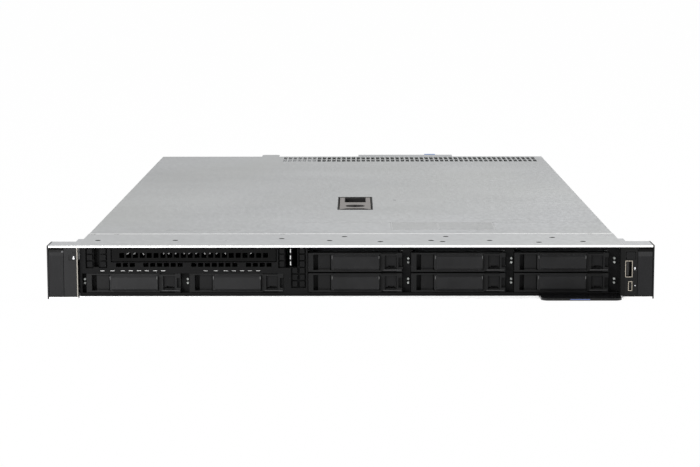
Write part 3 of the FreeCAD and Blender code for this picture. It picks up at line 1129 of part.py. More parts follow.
def rear_ports():
    """The rear sockets: network jacks, USB shells and the display connector."""
    ports = []
    y1 = REAR_Y + PORT_STAND / 2
    for x in JACK_XS:
        shell = centred(x, JACK_WIDTH - 2 * PORT_SHELL, y1 - JACK_DEPTH, y1, BOARD_TOP,
                        BOARD_TOP + JACK_HEIGHT)
        z0 = BOARD_TOP + 2.4
        opening = centred(x, JACK_OPENING_WIDTH, y1 - JACK_OPENING_DEPTH, y1 + 1, z0,
                          z0 + JACK_OPENING_HEIGHT)
        ports.append(without(shell, [opening]))
    z0 = BOARD_TOP + PORT_STAND
    for x in REAR_USB_XS:
        shell = centred(x, USB_HEIGHT - 2 * PORT_SHELL, y1 - USB_DEPTH, y1, z0, z0 + USB_WIDTH - PORT_SHELL)
        hollow = centred(x, USB_HEIGHT - 4 * PORT_SHELL, y1 - USB_DEPTH + 1, y1 + 1, z0 + PORT_SHELL,
                         z0 + USB_WIDTH - 2 * PORT_SHELL)
        tongue = centred(x, USB_HEIGHT - 6 * PORT_SHELL, y1 - USB_DEPTH + 0.5, y1 - 1.5, z0 + 2.8, z0 + 4.4)
        foot = centred(x, USB_HEIGHT - 2 * PORT_SHELL, y1 - USB_DEPTH, REAR_Y - SHEET - GAP, BOARD_TOP, z0)
        ports.append(join(without(shell, [hollow]), tongue, foot))
    body = centred(VGA_X, VGA_WIDTH, REAR_Y - SHEET - VGA_DEPTH, REAR_Y - SHEET, BOARD_TOP,
                   BOARD_TOP + VGA_HEIGHT)
    x0, x1 = VGA_X - VGA_SHELL_WIDTH / 2 + 0.2, VGA_X + VGA_SHELL_WIDTH / 2 - 0.2
    shell = prism([(x0, z0 + 7.6), (x1, z0 + 7.6), (x1 - 1.8, z0 + 0.4), (x0 + 1.8, z0 + 0.4)], "y",
                  REAR_Y - SHEET, SHEET + 5.0)
    ports.append(join(body, shell))
    return ports


def main():
    """Builds every node and writes its STEP file."""
    left_latch = ear_latch()
    nodes = {
        "chassis_base": chassis_base(),
        "rear_panel": rear_panel(),
        "front_top_panel": front_top_panel(),
        "drive_cage": drive_cage(),
        "backplane": backplane(),
        "front_frame": front_frame(),
        "light_pipes": light_pipes(),
        "optical_blank": optical_blank(),
        "ear_bracket_left": ear_bracket(FRONT_Y),
        "ear_bracket_right": mirrored(ear_bracket(FRONT_Y + 2.0)),
        "control_panel_left": control_panel_left(),
        "control_panel_right": control_panel_right(),
        "front_ports": front_ports(),
        "power_button": power_button(),
        "ear_latch_left": left_latch,
        "ear_latch_right": mirrored(left_latch),
        "info_tag": info_tag(),
        "top_cover": top_cover(),
        "cover_latch_frame": cover_latch_frame(),
        "cover_latch_lever": cover_latch_lever(),
        "fan_housings": [fan_housing(x) for x in fan_xs()],
        "motherboard": motherboard(),
        "heatsinks": [heatsink(x) for x in (-PROCESSOR_X, PROCESSOR_X)],
        "memory_modules": memory_modules(),
        "power_supply": power_supply(),
        "power_supply_latch": power_supply_latch(),
        "slot_covers": slot_covers(),
        "supply_blank": supply_blank(),
        "slot_retainer": slot_retainer(),
        "rear_ports": rear_ports(),
    }
    for i, x in enumerate(fan_xs(), 1):
        nodes[f"fan_rotor_{i}"] = fan_rotor(x)
    for i, (x, z) in enumerate(BAYS, 1):
        nodes[f"drive_carrier_{i}"] = carrier(x, z)
        nodes[f"drive_lever_{i}"] = drive_lever(x, z)
        nodes[f"drive_button_{i}"] = drive_button(x, z)
    os.makedirs("parts", exist_ok=True)
    for name, shape in nodes.items():
        if isinstance(shape, list):
            shape = Part.makeCompound(shape)
        shape.exportStep(f"parts/{name}.step")


main()
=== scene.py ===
import math

import bmesh
import bpy
from mathutils import Matrix, Vector


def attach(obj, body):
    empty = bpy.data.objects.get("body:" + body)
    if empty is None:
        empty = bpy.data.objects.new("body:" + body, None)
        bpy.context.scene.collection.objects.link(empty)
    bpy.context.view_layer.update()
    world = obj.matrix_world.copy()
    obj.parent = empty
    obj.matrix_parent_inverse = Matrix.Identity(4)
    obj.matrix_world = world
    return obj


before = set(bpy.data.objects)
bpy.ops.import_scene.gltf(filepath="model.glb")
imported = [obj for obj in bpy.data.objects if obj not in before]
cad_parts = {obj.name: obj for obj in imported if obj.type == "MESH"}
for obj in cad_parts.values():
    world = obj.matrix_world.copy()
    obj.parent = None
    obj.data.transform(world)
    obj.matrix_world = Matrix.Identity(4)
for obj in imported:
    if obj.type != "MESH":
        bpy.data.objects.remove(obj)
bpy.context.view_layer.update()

MM = 0.001

# Camera: place and lens in millimetres, turns in degrees
CAMERA_PLACE = (4.5, -1585.1, 270.5)
CAMERA_PITCH = 7.95
CAMERA_YAW = -0.18
CAMERA_ROLL = -0.08
CAMERA_LENS = 102.25

# Faces that the details lie on, in millimetres, in the row frame
TOP = 42.8
FACE_Y = -20.5
FRONT_Y = -24.0
SEAM_Y = 45.6
SUNK = 0.02

# Ears: side, the front edge's painted shade, its painted highlight line and the inner walls' painted shade,
# the latch gaps' painted shade and the brows' painted highlight, status lens
EAR_SIDE = 240.6
EAR_UPRIGHT = (1.6, 41.0)
EAR_LINE_X = -217.7
EAR_WALL_X = (-217.1, 218.5)
EDGE_DEPTH = 0.3
LATCH_GAP_Z = (37.6, 41.0)
LEFT_BROW_Z = (34.9, 37.6)
RIGHT_BROW_Z = (34.0, 37.6)
LENS_X = (-221.9, -218.9)
LENS_Z = (31.0, 37.6)
LENS_LIGHT_X = -220.1
# Small marks on the ears' faces, all with a painted glow: x, depth behind the front, z and radius
EAR_MARKS = (
    (LENS_LIGHT_X, 0.04, 34.0, 0.45), (LENS_LIGHT_X, 0.04, 32.7, 0.85),
    (226.0, 0.31, 24.5, 0.65), (226.0, 0.31, 23.3, 0.4), (226.3, 0.31, 10.4, 0.4),
)
# Where a painted gleam sits on the left latch's pin
LATCH_PIN_MARK = (-229.0, FRONT_Y + 0.12, 38.0)

# The cover's latch: its middle, the lever's bevelled nose, the lock and the finger window
LATCH_X = 3.6
LEVER_NOSE_Y = 202.0
NOSE_LENGTH = 11.5
NOSE_BEVEL = 19.0
LOCK_Y = 231.8
LOCK_RADIUS = 8.9
WINDOW_Y = 259.0
WINDOW_HALF = 9.9

# The cover: the label's two panes and edges, the embossed lines, and what is pressed at the seam
LABEL_X = (35.0, 74.2, 121.0)
LABEL_Y = (69.0, 114.0)
LABEL_GAP = 0.6
LABEL_EDGE = (0.2, 1.6)
EMBOSS = ((-46.6, 34.0, 113.0, 115.5), (122.0, 214.0, 113.0, 115.5), (-157.0, -91.0, 65.0, 68.0))
SEAM_HALF = 216.0
SEAM_NOTCHES = (-213.0, -193.6, -56.5, 197.7)
COVER_PIP = (40.6, 272.0)

# Fasteners on the front panel and dimples in the ears, bright with a painted highlight, and the rivets'
# wells, painted shade
EAR_DIMPLES = ((-229.7, -4.5), (-223.0, -10.7), (218.5, -11.0), (229.0, -8.3))
PANEL_SCREWS = ((210.5, 32.0),)
LIGHT_RIVETS = ((-166.7, 6.4), (-101.7, 5.9))
RIVETS = (
    (-204.4, 6.5), (-141.7, 6.5), (-56.0, 15.5), (-17.0, 4.5), (-5.0, 27.0), (24.0, -2.0),
    (65.0, 4.5), (77.8, 27.0), (73.9, -2.0), (112.3, 4.5), (164.4, 21.0), (151.0, -6.0), (186.9, -2.0),
)

# The front: bays, small windows, the optical blank's holes, and the faces of cage, drives and tag
CARRIER_COUNT = 8
FAN_COUNT = 6
CARRIER_HALF = 37.5
LEFT_BAYS = (-173.2, -91.0)
WINDOW_START = 13.0
WINDOW_STEPS = (0.0, 8.0, 16.0, 22.5, 29.0, 35.3, 41.8, 48.3)
DASH_HALF = 1.6
DASH_Z = (21.85, 22.35)
STRIP_X = (-48.2, -47.5)
STRIP_ZS = (38.0, 32.8, 28.0)
BLANK_X = -124.9
HOLE_PITCH = 5.45
HOLE_STEPS = 21
CLIP_HOLES = (1, 2, 3, 6, 7, 8, 9, 10, 11, 12, 13, 14, 15, 19)
CLIP_Z = 35.8
CAGE_FACE_Y = -11.5
CASE_FACE_Y = -7.4
TAG_FACE_Y = -42.4
TAG_LINE_X = (173.0, 188.5)
TAG_LINE_Z = (2.2, 2.7)
# How bright carrier 1, carrier 2 and the rest are beside the first one: painted shade, as the light falls off
# from left to right
LIGHT_FALL = (1.0, 0.80, 0.72)

# The tray's front slits, where its walls get painted shade, and where the supply's back and the retainer's
# blue tab begin
SLIT_Y = 4.0
SLIT_Z = (2.3, 43.0)
SUPPLY_BACK_Y = 684.02
RETAINER_TAB_Y = 705.25

# Colours that several materials share
NO_LIGHT = (0.0, 0.0, 0.0)
DARK = (0.012, 0.012, 0.012)
WHITE = (0.98, 0.98, 0.98)

# A dome's rings and sides
DOME_RINGS = 4
DOME_SIDES = 24


# Mesh helpers
def add(name, bm, material, body, smooth=False):
    """An object from a bmesh in millimetres, with a material, riding on a body."""
    bmesh.ops.scale(bm, vec=(MM, MM, MM), verts=bm.verts)
    bmesh.ops.recalc_face_normals(bm, faces=bm.faces)
    mesh = bpy.data.meshes.new(name)
    bm.to_mesh(mesh)
    bm.free()
    for face in mesh.polygons:
        face.use_smooth = smooth
    obj = bpy.data.objects.new(name, mesh)
    bpy.context.collection.objects.link(obj)
    obj.data.materials.append(material)
    if body is None:
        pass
    else:
        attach(obj, body)
    return obj


def put_plate(bm, x, y, z, bevel=0.0):
    """A box between the low and high of x, y and z, its edges bevelled."""
    made = bmesh.ops.create_cube(bm, size=1.0)["verts"]
    size = [hi - lo for lo, hi in (x, y, z)]
    middle = [(hi + lo) / 2 for lo, hi in (x, y, z)]
    bmesh.ops.scale(bm, vec=size, verts=made)
    bmesh.ops.translate(bm, vec=middle, verts=made)
    if bevel:
        edges = list({edge for vert in made for edge in vert.link_edges})
        bmesh.ops.bevel(bm, geom=edges, offset=bevel, segments=2, affect="EDGES", profile=0.5)


def put_dome(bm, x, y, z, radius, height, axis="z"):
    """A low dome on a disc, standing along +Z or facing -Y."""
    last = None
    for ring in range(DOME_RINGS):
        turn = math.pi / 2 * ring / DOME_RINGS
        r, h = radius * math.cos(turn), height * math.sin(turn)
        loop = []
        for i in range(DOME_SIDES):
            angle = 2 * math.pi * i / DOME_SIDES
            loop.append(bm.verts.new(lay(x, y, z, r * math.cos(angle), r * math.sin(angle), h, axis)))
        if last:
            for i, j in around():
                bm.faces.new((last[i], last[j], loop[j], loop[i]))
        last = loop
    tip = bm.verts.new(lay(x, y, z, 0.0, 0.0, height, axis))
    for i, j in around():
        bm.faces.new((last[i], last[j], tip))


def around():
    """Each side's place in a dome's ring, with the next one's."""
    return [(i, (i + 1) % DOME_SIDES) for i in range(DOME_SIDES)]


def lay(x, y, z, a, b, h, axis):
    """A point of a dome: a and b across it, h out of it."""
    if axis == "z":
        return (x + a, y + b, z + h)
    return (x + a, y - h, z + b)


# Material helpers
class Nodes:
    """Short ways to add nodes to one material."""

    def __init__(self, name):
        self.material = bpy.data.materials.new(name)
        self.material.use_nodes = True
        self.tree = self.material.node_tree
        self.shader = self.tree.nodes["Principled BSDF"]
        self.place = self.add("ShaderNodeTexCoord").outputs["Object"]

    def add(self, kind, **values):
        """A node with its inputs set by name or number, or linked when the value is a socket."""
        node = self.tree.nodes.new(kind)
        for key, value in values.items():
            self.set(node.inputs[key.replace("_", " ")], value)
        return node

    def set(self, socket, value):
        """Sets an input, or links it."""
        if isinstance(value, bpy.types.NodeSocket):
            self.tree.links.new(value, socket)
        else:
            socket.default_value = value

    def math(self, what, a, b=0.0):
        """One step of arithmetic."""
        node = self.tree.nodes.new("ShaderNodeMath")
        node.operation = what
        for socket, value in zip(node.inputs, (a, b)):
            self.set(socket, value)
        return node.outputs[0]

    def axis(self, letter):
        """One coordinate of the place, in metres."""
        node = self.add("ShaderNodeSeparateXYZ", Vector=self.place)
        return node.outputs[letter]

    def noise(self, scale, stretch=(1, 1, 1), detail=3.0, rough=0.55):
        """Noise, stretched by unequal scales along the axes."""
        spread = self.add("ShaderNodeMapping", Vector=self.place, Scale=stretch)
        node = self.add("ShaderNodeTexNoise", Vector=spread.outputs[0], Scale=scale, Detail=detail,
                        Roughness=rough)
        return node.outputs["Fac"]

    def ramp(self, value, low, high, lo=0.0, hi=1.0):
        """Maps low..high to lo..hi."""
        node = self.add("ShaderNodeMapRange", Value=value, From_Min=low, From_Max=high, To_Min=lo, To_Max=hi)
        return node.outputs[0]

    def mix(self, fac, a, b):
        """Mixes two colours."""
        node = self.tree.nodes.new("ShaderNodeMix")
        node.data_type = "RGBA"
        self.set(node.inputs[0], fac)
        for socket, value in ((node.inputs[6], a), (node.inputs[7], b)):
            self.set(socket, (*value, 1.0) if isinstance(value, tuple) and len(value) == 3 else value)
        return node.outputs[2]

    def bump(self, height, strength, distance):
        """Bumps the shader's normal."""
        node = self.add("ShaderNodeBump", Height=height, Strength=strength, Distance=distance)
        self.tree.links.new(node.outputs[0], self.shader.inputs["Normal"])

    def lit_edges(self, radius=0.35 * MM):
        """1 on convex edges and 0 on flat faces: where the painted edge highlights go."""
        soft = self.tree.nodes.new("ShaderNodeBevel")
        soft.samples = 4
        soft.inputs["Radius"].default_value = radius
        plain = self.tree.nodes.new("ShaderNodeNewGeometry")
        dot = self.tree.nodes.new("ShaderNodeVectorMath")
        dot.operation = "DOT_PRODUCT"
        self.set(dot.inputs[0], soft.outputs[0])
        self.set(dot.inputs[1], plain.outputs["Normal"])
        return self.ramp(dot.outputs["Value"], 0.99, 0.80)

    def finish(self, colour, rough, metal=0.0, specular=0.5):
        """Sets the shader's own sockets."""
        self.set(self.shader.inputs["Base Color"], colour)
        self.set(self.shader.inputs["Roughness"], rough)
        self.shader.inputs["Metallic"].default_value = metal
        self.shader.inputs["Specular IOR Level"].default_value = specular
        return self.material


def shade(colour, factor):
    """A colour made darker or lighter."""
    return tuple(min(1.0, c * factor) for c in colour)


def zinc(name, colour, metal=0.35, rough=0.42, mottle=0.06, edge=None, cap=None):
    """Zinc-coated sheet: clouds, a fine spangle and rolling lines, with a painted highlight on its bends;
    edge paints its front, cap recolours.
    """
    n = Nodes(name)
    clouds = n.noise(9.0, (0.7, 1.1, 1.0), 4.0)
    spangle = n.noise(260.0, (1.0, 0.45, 1.0), 2.0, 0.7)
    lines = n.noise(1500.0, (1.0, 0.02, 1.0), 2.0)
    mixed = n.math("ADD", n.math("MULTIPLY", clouds, 0.55), n.math("MULTIPLY", spangle, 0.45))
    fac = n.ramp(mixed, 0.38, 0.62)
    base = n.mix(fac, shade(colour, 1 - mottle), shade(colour, 1 + mottle))
    tint = n.ramp(n.noise(4.0, (1.0, 0.6, 1.0), 3.0), 0.35, 0.65)
    warm = (colour[0] * 1.03, colour[1] * 1.03, colour[2] * 0.98)
    base = n.mix(n.math("MULTIPLY", tint, 0.5), base, warm)
    # Bends and convex edges lightened: a painted highlight
    base = n.mix(n.math("MULTIPLY", n.lit_edges(0.4 * MM), 0.5), base, (0.9, 0.9, 0.9))
    if edge:
        base = front_edge(n, base, *edge)
    if cap:
        base = cap(n, base)
    n.bump(n.math("ADD", spangle, lines), 0.06, 0.0002)
    return n.finish(base, n.ramp(spangle, 0.3, 0.7, rough - 0.05, rough + 0.08), metal)


def front_edge(n, base, y, fade, colour, shine=0.0):
    """Colours what lies before a place in Y: a white painted highlight on a front edge, glowing faintly when
    shine is given, and painted shade on the cage's face.
    """
    near = n.ramp(n.axis("Y"), (y + fade) * MM, (y + 0.01) * MM)
    if shine:
        n.set(n.shader.inputs["Emission Color"], n.mix(near, NO_LIGHT, colour))
        n.shader.inputs["Emission Strength"].default_value = shine
    return n.mix(near, base, colour)


def within(n, letter, low, high):
    """1 between two places on one axis, in millimetres."""
    place = n.axis(letter)
    return n.math("MULTIPLY", n.math("GREATER_THAN", place, low * MM), n.math("LESS_THAN", place, high * MM))


def ear_edges(n, base):
    """The ears' front edges: a glowing white painted highlight at the top and the foot, a thin warm painted
    highlight at the left and painted shade between; painted shade on the inner walls, and dark outer sides.
    """
    front = n.math("LESS_THAN", n.axis("Y"), (FRONT_Y + EDGE_DEPTH) * MM)
    middle = within(n, "Z", *EAR_UPRIGHT)
    upright = n.math("MULTIPLY", front, middle)
    base = n.mix(upright, base, DARK)
    line = n.math("MULTIPLY", upright, within(n, "X", EAR_LINE_X, 0.0))
    base = n.mix(line, base, (0.46, 0.43, 0.38))
    inward = n.math("MULTIPLY", within(n, "Y", FRONT_Y + EDGE_DEPTH, 0.0), middle)
    walls = within(n, "X", *EAR_WALL_X)
    base = n.mix(n.math("MULTIPLY", inward, walls), base, DARK)
    ends = n.math("MULTIPLY", front, n.math("SUBTRACT", 1.0, middle))
    base = n.mix(ends, base, (0.95, 0.94, 0.92))
    n.set(n.shader.inputs["Emission Color"], n.mix(ends, NO_LIGHT, (1.0, 1.0, 1.0)))
    n.shader.inputs["Emission Strength"].default_value = 0.35
    out = n.math("GREATER_THAN", n.math("ABSOLUTE", n.axis("X")), EAR_SIDE * MM)
    return n.mix(out, base, (0.02, 0.02, 0.022))


def tray_ends(n, base):
    """Painted shade: the tray's walls are dark where they show in the slits beside the front frame."""
    near = n.math("MULTIPLY", n.math("LESS_THAN", n.axis("Y"), SLIT_Y * MM), within(n, "Z", *SLIT_Z))
    return n.mix(near, base, DARK)


def moulded(name, colour, rough=0.5, strength=0.25, edge_highlight=0.25, lit=(0.10, 0.10, 0.10), specular=0.4,
            bands=()):
    """Moulded plastic with a grain and a painted highlight on its edges; a band is an axis, two places and a
    colour between.
    """
    n = Nodes(name)
    fine = n.noise(2600.0, (1, 1, 1), 2.0, 0.6)
    broad = n.noise(45.0, (1, 1, 1), 3.0)
    base = n.mix(n.ramp(broad, 0.35, 0.65), shade(colour, 0.88), shade(colour, 1.12))
    # Convex edges lightened towards lit: a painted highlight
    base = n.mix(n.math("MULTIPLY", n.lit_edges(), edge_highlight), base, lit)
    for letter, low, high, other in bands:
        base = n.mix(within(n, letter, low, high), base, other)
    n.bump(fine, strength, 0.00006)
    return n.finish(base, n.ramp(fine, 0.3, 0.7, rough - 0.06, rough + 0.06), 0.0, specular)


def bright(name, colour, rough, metal):
    """Nickel or tin plate with a faint brushed grain."""
    n = Nodes(name)
    lines = n.noise(1800.0, (1.0, 1.0, 0.05), 2.0)
    base = n.mix(n.ramp(lines, 0.3, 0.7), shade(colour, 0.92), shade(colour, 1.05))
    n.bump(lines, 0.08, 0.0001)
    return n.finish(base, n.ramp(lines, 0.3, 0.7, rough - 0.05, rough + 0.08), metal)


def two_tone(name, letter, limit, below, above, rough=0.5, metal=0.0, specular=0.5):
    """One finish below a coordinate and another above it, both with a light grain."""
    n = Nodes(name)
    side = n.math("GREATER_THAN", n.axis(letter), limit * MM)
    grain = n.noise(900.0, (1, 1, 1), 2.0)
    low = n.mix(n.ramp(grain, 0.3, 0.7), shade(below, 0.9), shade(below, 1.1))
    high = n.mix(n.ramp(grain, 0.3, 0.7), shade(above, 0.9), shade(above, 1.1))
    n.bump(grain, 0.08, 0.0001)
    rough = n.ramp(grain, 0.3, 0.7, rough - 0.05, rough + 0.05)
    return n.finish(n.mix(side, low, high), rough, metal, specular)


def board(name, mask, letter="Z", low=6.0, high=7.7, other=(0.02, 0.02, 0.022)):
    """Circuit board: solder mask with traces between two places, and moulded parts off it."""
    n = Nodes(name)
    layer = within(n, letter, low, high)
    cells = n.add("ShaderNodeTexBrick", Vector=n.place, Scale=60.0, Mortar_Size=0.03)
    n.set(cells.inputs["Color1"], (*mask, 1.0))
    n.set(cells.inputs["Color2"], (*shade(mask, 0.8), 1.0))
    n.set(cells.inputs["Mortar"], (*shade(mask, 1.7), 1.0))
    grain = n.noise(500.0, (1, 1, 1), 2.0)
    off = n.mix(n.ramp(grain, 0.3, 0.7), shade(other, 0.8), shade(other, 1.3))
    n.bump(grain, 0.05, 0.0001)
    return n.finish(n.mix(layer, off, cells.outputs["Color"]), n.ramp(grain, 0.3, 0.7, 0.35, 0.5))


def glow(name, colour, strength, spread=0.15):
    """A small lens lit by a painted glow: a soft spot in its colour, brighter in some places than in others.
    """
    n = Nodes(name)
    spot = n.noise(300.0, (1, 1, 1), 1.0)
    base = n.mix(n.ramp(spot, 0.3, 0.7), shade(colour, 1 - spread), colour)
    n.set(n.shader.inputs["Emission Color"], base)
    n.shader.inputs["Emission Strength"].default_value = strength
    return n.finish(base, 0.3)


def latch_finish():
    """Warm grey for the cover lever with a painted highlight on its edges; black and dull painted shade at
    its nose, dark and dull painted shade behind its window, and dark and dull at its lock.
    """
    n = Nodes("latch_lever")
    grain = n.noise(1800.0, (1, 1, 1), 2.0)
    base = n.mix(n.ramp(grain, 0.3, 0.7), (0.215, 0.20, 0.192), (0.255, 0.24, 0.23))
    base = n.mix(n.math("MULTIPLY", n.lit_edges(), 0.6), base, (0.5, 0.48, 0.46))
    across = n.math("ABSOLUTE", n.math("SUBTRACT", n.axis("X"), LATCH_X * MM))
    along = n.math("SUBTRACT", n.axis("Y"), LEVER_NOSE_Y * MM)
    nose = n.math("LESS_THAN", n.math("ADD", across, along), NOSE_BEVEL * MM)
    nose = n.math("MULTIPLY", nose, n.math("LESS_THAN", along, NOSE_LENGTH * MM))
    away = n.math("POWER", n.math("SUBTRACT", n.axis("Y"), LOCK_Y * MM), 2.0)
    ring = n.math("SQRT", n.math("ADD", n.math("MULTIPLY", across, across), away))
    lock = n.math("LESS_THAN", ring, LOCK_RADIUS * MM)
    behind = n.math("GREATER_THAN", n.axis("Y"), WINDOW_Y * MM)
    behind = n.math("MULTIPLY", n.math("LESS_THAN", across, WINDOW_HALF * MM), behind)
    base = n.mix(n.math("MAXIMUM", lock, behind), base, (0.045, 0.043, 0.043))
    base = n.mix(nose, base, (0.001, 0.001, 0.001))
    n.bump(grain, 0.15, 0.00006)
    dull = n.math("MAXIMUM", nose, n.math("MAXIMUM", lock, behind))
    finished = n.finish(base, n.ramp(grain, 0.3, 0.7, 0.4, 0.5), 0.0, 0.4)
    n.set(n.shader.inputs["Specular IOR Level"], n.ramp(dull, 0.0, 1.0, 0.4, 0.0))
    return finished


def tag_finish():
    """Glossy black for the tag, with a painted highlight on its edges and a blue line along the middle of its
    front edge.
    """
    n = Nodes("tag_black")
    strip = n.math("MULTIPLY", within(n, "X", *TAG_LINE_X), within(n, "Z", *TAG_LINE_Z))
    line = n.math("MULTIPLY", strip, n.math("LESS_THAN", n.axis("Y"), TAG_FACE_Y * MM))
    grain = n.noise(1500.0, (1, 1, 1), 2.0)
    base = n.mix(n.ramp(grain, 0.3, 0.7), (0.0035, 0.0035, 0.004), (0.005, 0.005, 0.0055))
    base = n.mix(n.math("MULTIPLY", n.lit_edges(), 0.3), base, (0.05, 0.05, 0.055))
    n.bump(grain, 0.05, 0.00006)
    return n.finish(n.mix(line, base, (0.16, 0.22, 0.50)), n.ramp(grain, 0.3, 0.7, 0.22, 0.3), 0.0, 0.35)


def paint(node, material):
    """Puts one material in every slot of a CAD node."""
    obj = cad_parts[node]
    if not obj.material_slots:
        obj.data.materials.append(material)
    for place in obj.material_slots:
        place.material = material


# Materials of the CAD nodes
def sheet_finishes():
    """The folded sheets' zinc, by node."""
    # The tray's front hem: a white painted highlight with a faint glow; its walls get painted shade in the
    # slits
    tray = zinc("tray_zinc", (0.46, 0.46, 0.47), 0.5, 0.4, 0.1, (FRONT_Y, EDGE_DEPTH, WHITE, 0.08), tray_ends)
    inner = zinc("inner_zinc", (0.40, 0.40, 0.41), 0.6, 0.4, 0.1)
    ear = zinc("ear_zinc", (0.60, 0.61, 0.63), 0.35, 0.38, 0.03, cap=ear_edges)
    return {
        "top_cover": zinc("cover_zinc", (0.52, 0.53, 0.54), mottle=0.09),
        # The panel's front edge: a white painted highlight with a glow
        "front_top_panel": zinc("panel_zinc", (0.58, 0.59, 0.60), 0.35, 0.40, 0.04,
                                (FRONT_Y, 2.5, WHITE, 0.3)),
        "chassis_base": tray,
        # The cage's front face: painted shade
        "drive_cage": zinc("cage_zinc", (0.40, 0.40, 0.41), 0.6, 0.4, 0.1, (CAGE_FACE_Y, EDGE_DEPTH, DARK)),
        "rear_panel": inner,
        "slot_covers": inner,
        "supply_blank": inner,
        "ear_bracket_left": ear,
        "ear_bracket_right": ear,
    }


def front_finishes():
    """The moulded front pieces' plastics, by node; bands paint shade in the gap above a latch, a painted
    highlight on its brow and painted shadow on the right panel.
    """
    faint = (0.05, 0.05, 0.05)
    shadow = (0.002, 0.002, 0.002)
    gap = ("Z", *LATCH_GAP_Z, (0.003, 0.003, 0.003))
    left_brow = ("Z", *LEFT_BROW_Z, (0.020, 0.020, 0.021))
    right_brow = ("Z", *RIGHT_BROW_Z, (0.036, 0.036, 0.037))
    return {
        "front_frame": moulded("frame_black", (0.010, 0.010, 0.0103), lit=faint, specular=0.08),
        "optical_blank": moulded("blank_black", (0.0025, 0.0025, 0.0026), lit=faint, specular=0.12),
        "control_panel_left": moulded("ear_black", (0.014, 0.014, 0.015), 0.42, lit=(0.09, 0.09, 0.09),
                                      specular=0.3),
        # The right control panel is a darker copy of the left one's black: painted shade, the light falling
        # from the left
        "control_panel_right": moulded("ear_right_shaded", (0.007, 0.007, 0.0072), 0.42, edge_highlight=0.1, specular=0.25,
                                       bands=(("X", 200.0, 218.3, shadow), ("Z", 38.6, 41.0, shadow))),
        "ear_latch_left": moulded("cap_left", (0.013, 0.013, 0.014), 0.4, specular=0.25,
                                  bands=(left_brow, gap)),
        "ear_latch_right": moulded("cap_right", (0.017, 0.017, 0.018), 0.4, specular=0.2,
                                   bands=(right_brow, gap)),
        "info_tag": tag_finish(),
        "front_ports": two_tone("port_plate", "Y", FRONT_Y + 0.55, (0.66, 0.60, 0.50),
                                (0.035, 0.034, 0.033), 0.35, 0.3),
        # The light pipes' faint emission is a painted glow
        "light_pipes": glow("pipe_lens", (0.42, 0.44, 0.42), 0.12, 0.55),
        "cover_latch_frame": moulded("latch_tray", (0.010, 0.010, 0.010), 0.5, lit=(0.06, 0.06, 0.06),
                                     edge_highlight=0.3),
        "cover_latch_lever": latch_finish(),
    }


def inner_finishes():
    """Finishes of the boards, the cooling, the supply and the back, by node."""
    return {
        "motherboard": board("main_board", (0.012, 0.075, 0.035)),
        "backplane": board("backplane_board", (0.012, 0.06, 0.03), "Y", 100.9, 102.7),
        "memory_modules": board("memory_board", (0.012, 0.07, 0.035), "Z", 0.0, 30.0, (0.012, 0.012, 0.013)),
        "heatsinks": bright("fin_aluminium", (0.62, 0.63, 0.65), 0.38, 0.7),
        "power_supply": two_tone("supply_case", "Y", SUPPLY_BACK_Y, (0.42, 0.43, 0.44),
                                 (0.015, 0.015, 0.016), 0.4, 0.2),
        "power_supply_latch": moulded("latch_orange", (0.36, 0.08, 0.015), 0.45, lit=(0.5, 0.2, 0.08)),
        "slot_retainer": two_tone("retainer_plate", "Y", RETAINER_TAB_Y, (0.45, 0.46, 0.47),
                                  (0.09, 0.22, 0.55), 0.4),
        "rear_ports": bright("rear_port_plate", (0.62, 0.62, 0.63), 0.32, 0.8),
    }


def paint_bays():
    """Paints the carriers and their levers, darker from the first to the third with painted shade, and the
    buttons.
    """
    carriers, levers = [], []
    for kind, factor in enumerate(LIGHT_FALL, 1):
        carriers.append(two_tone(f"carrier_shaded_finish_{kind}", "Y", CASE_FACE_Y,
                                 shade((0.018, 0.018, 0.0184), factor), (0.42, 0.43, 0.44), specular=0.15))
        levers.append(moulded(f"lever_shaded_grey_{kind}", shade((0.032, 0.032, 0.033), factor), edge_highlight=0.5,
                              lit=shade((0.12, 0.12, 0.12), factor), specular=0.12))
    button_grey = moulded("button_grey", (0.016, 0.016, 0.0165), lit=(0.07, 0.07, 0.07), specular=0.1)
    paint("power_button", button_grey)
    for number in range(1, CARRIER_COUNT + 1):
        kind = min(number, len(LIGHT_FALL)) - 1
        paint(f"drive_carrier_{number}", carriers[kind])
        paint(f"drive_lever_{number}", levers[kind])
        paint(f"drive_button_{number}", button_grey)


def paint_nodes():
    """Gives every CAD node its finish."""
    for finishes in (sheet_finishes(), front_finishes(), inner_finishes()):
        for node, material in finishes.items():
            paint(node, material)
    fan_black = moulded("fan_black", (0.012, 0.012, 0.013), 0.5)
    paint("fan_housings", fan_black)
    for number in range(1, FAN_COUNT + 1):
        paint(f"fan_rotor_{number}", fan_black)
    paint_bays()


# Details that ride on the CAD bodies
def put_film(bm, x, y, height=0.03):
    """A thin plate laid on the top face."""
    put_plate(bm, x, y, (TOP - SUNK, TOP + height))


def cover_label():
    """The bare label in two panes."""
    bm = bmesh.new()
    put_film(bm, (LABEL_X[0], LABEL_X[1] - LABEL_GAP), LABEL_Y, 0.04)
    put_film(bm, (LABEL_X[1] + LABEL_GAP, LABEL_X[2]), LABEL_Y, 0.04)
    add("cover_label", bm, zinc("label_grey", (0.39, 0.397, 0.40), 0.10, 0.5, 0.10), "cover")


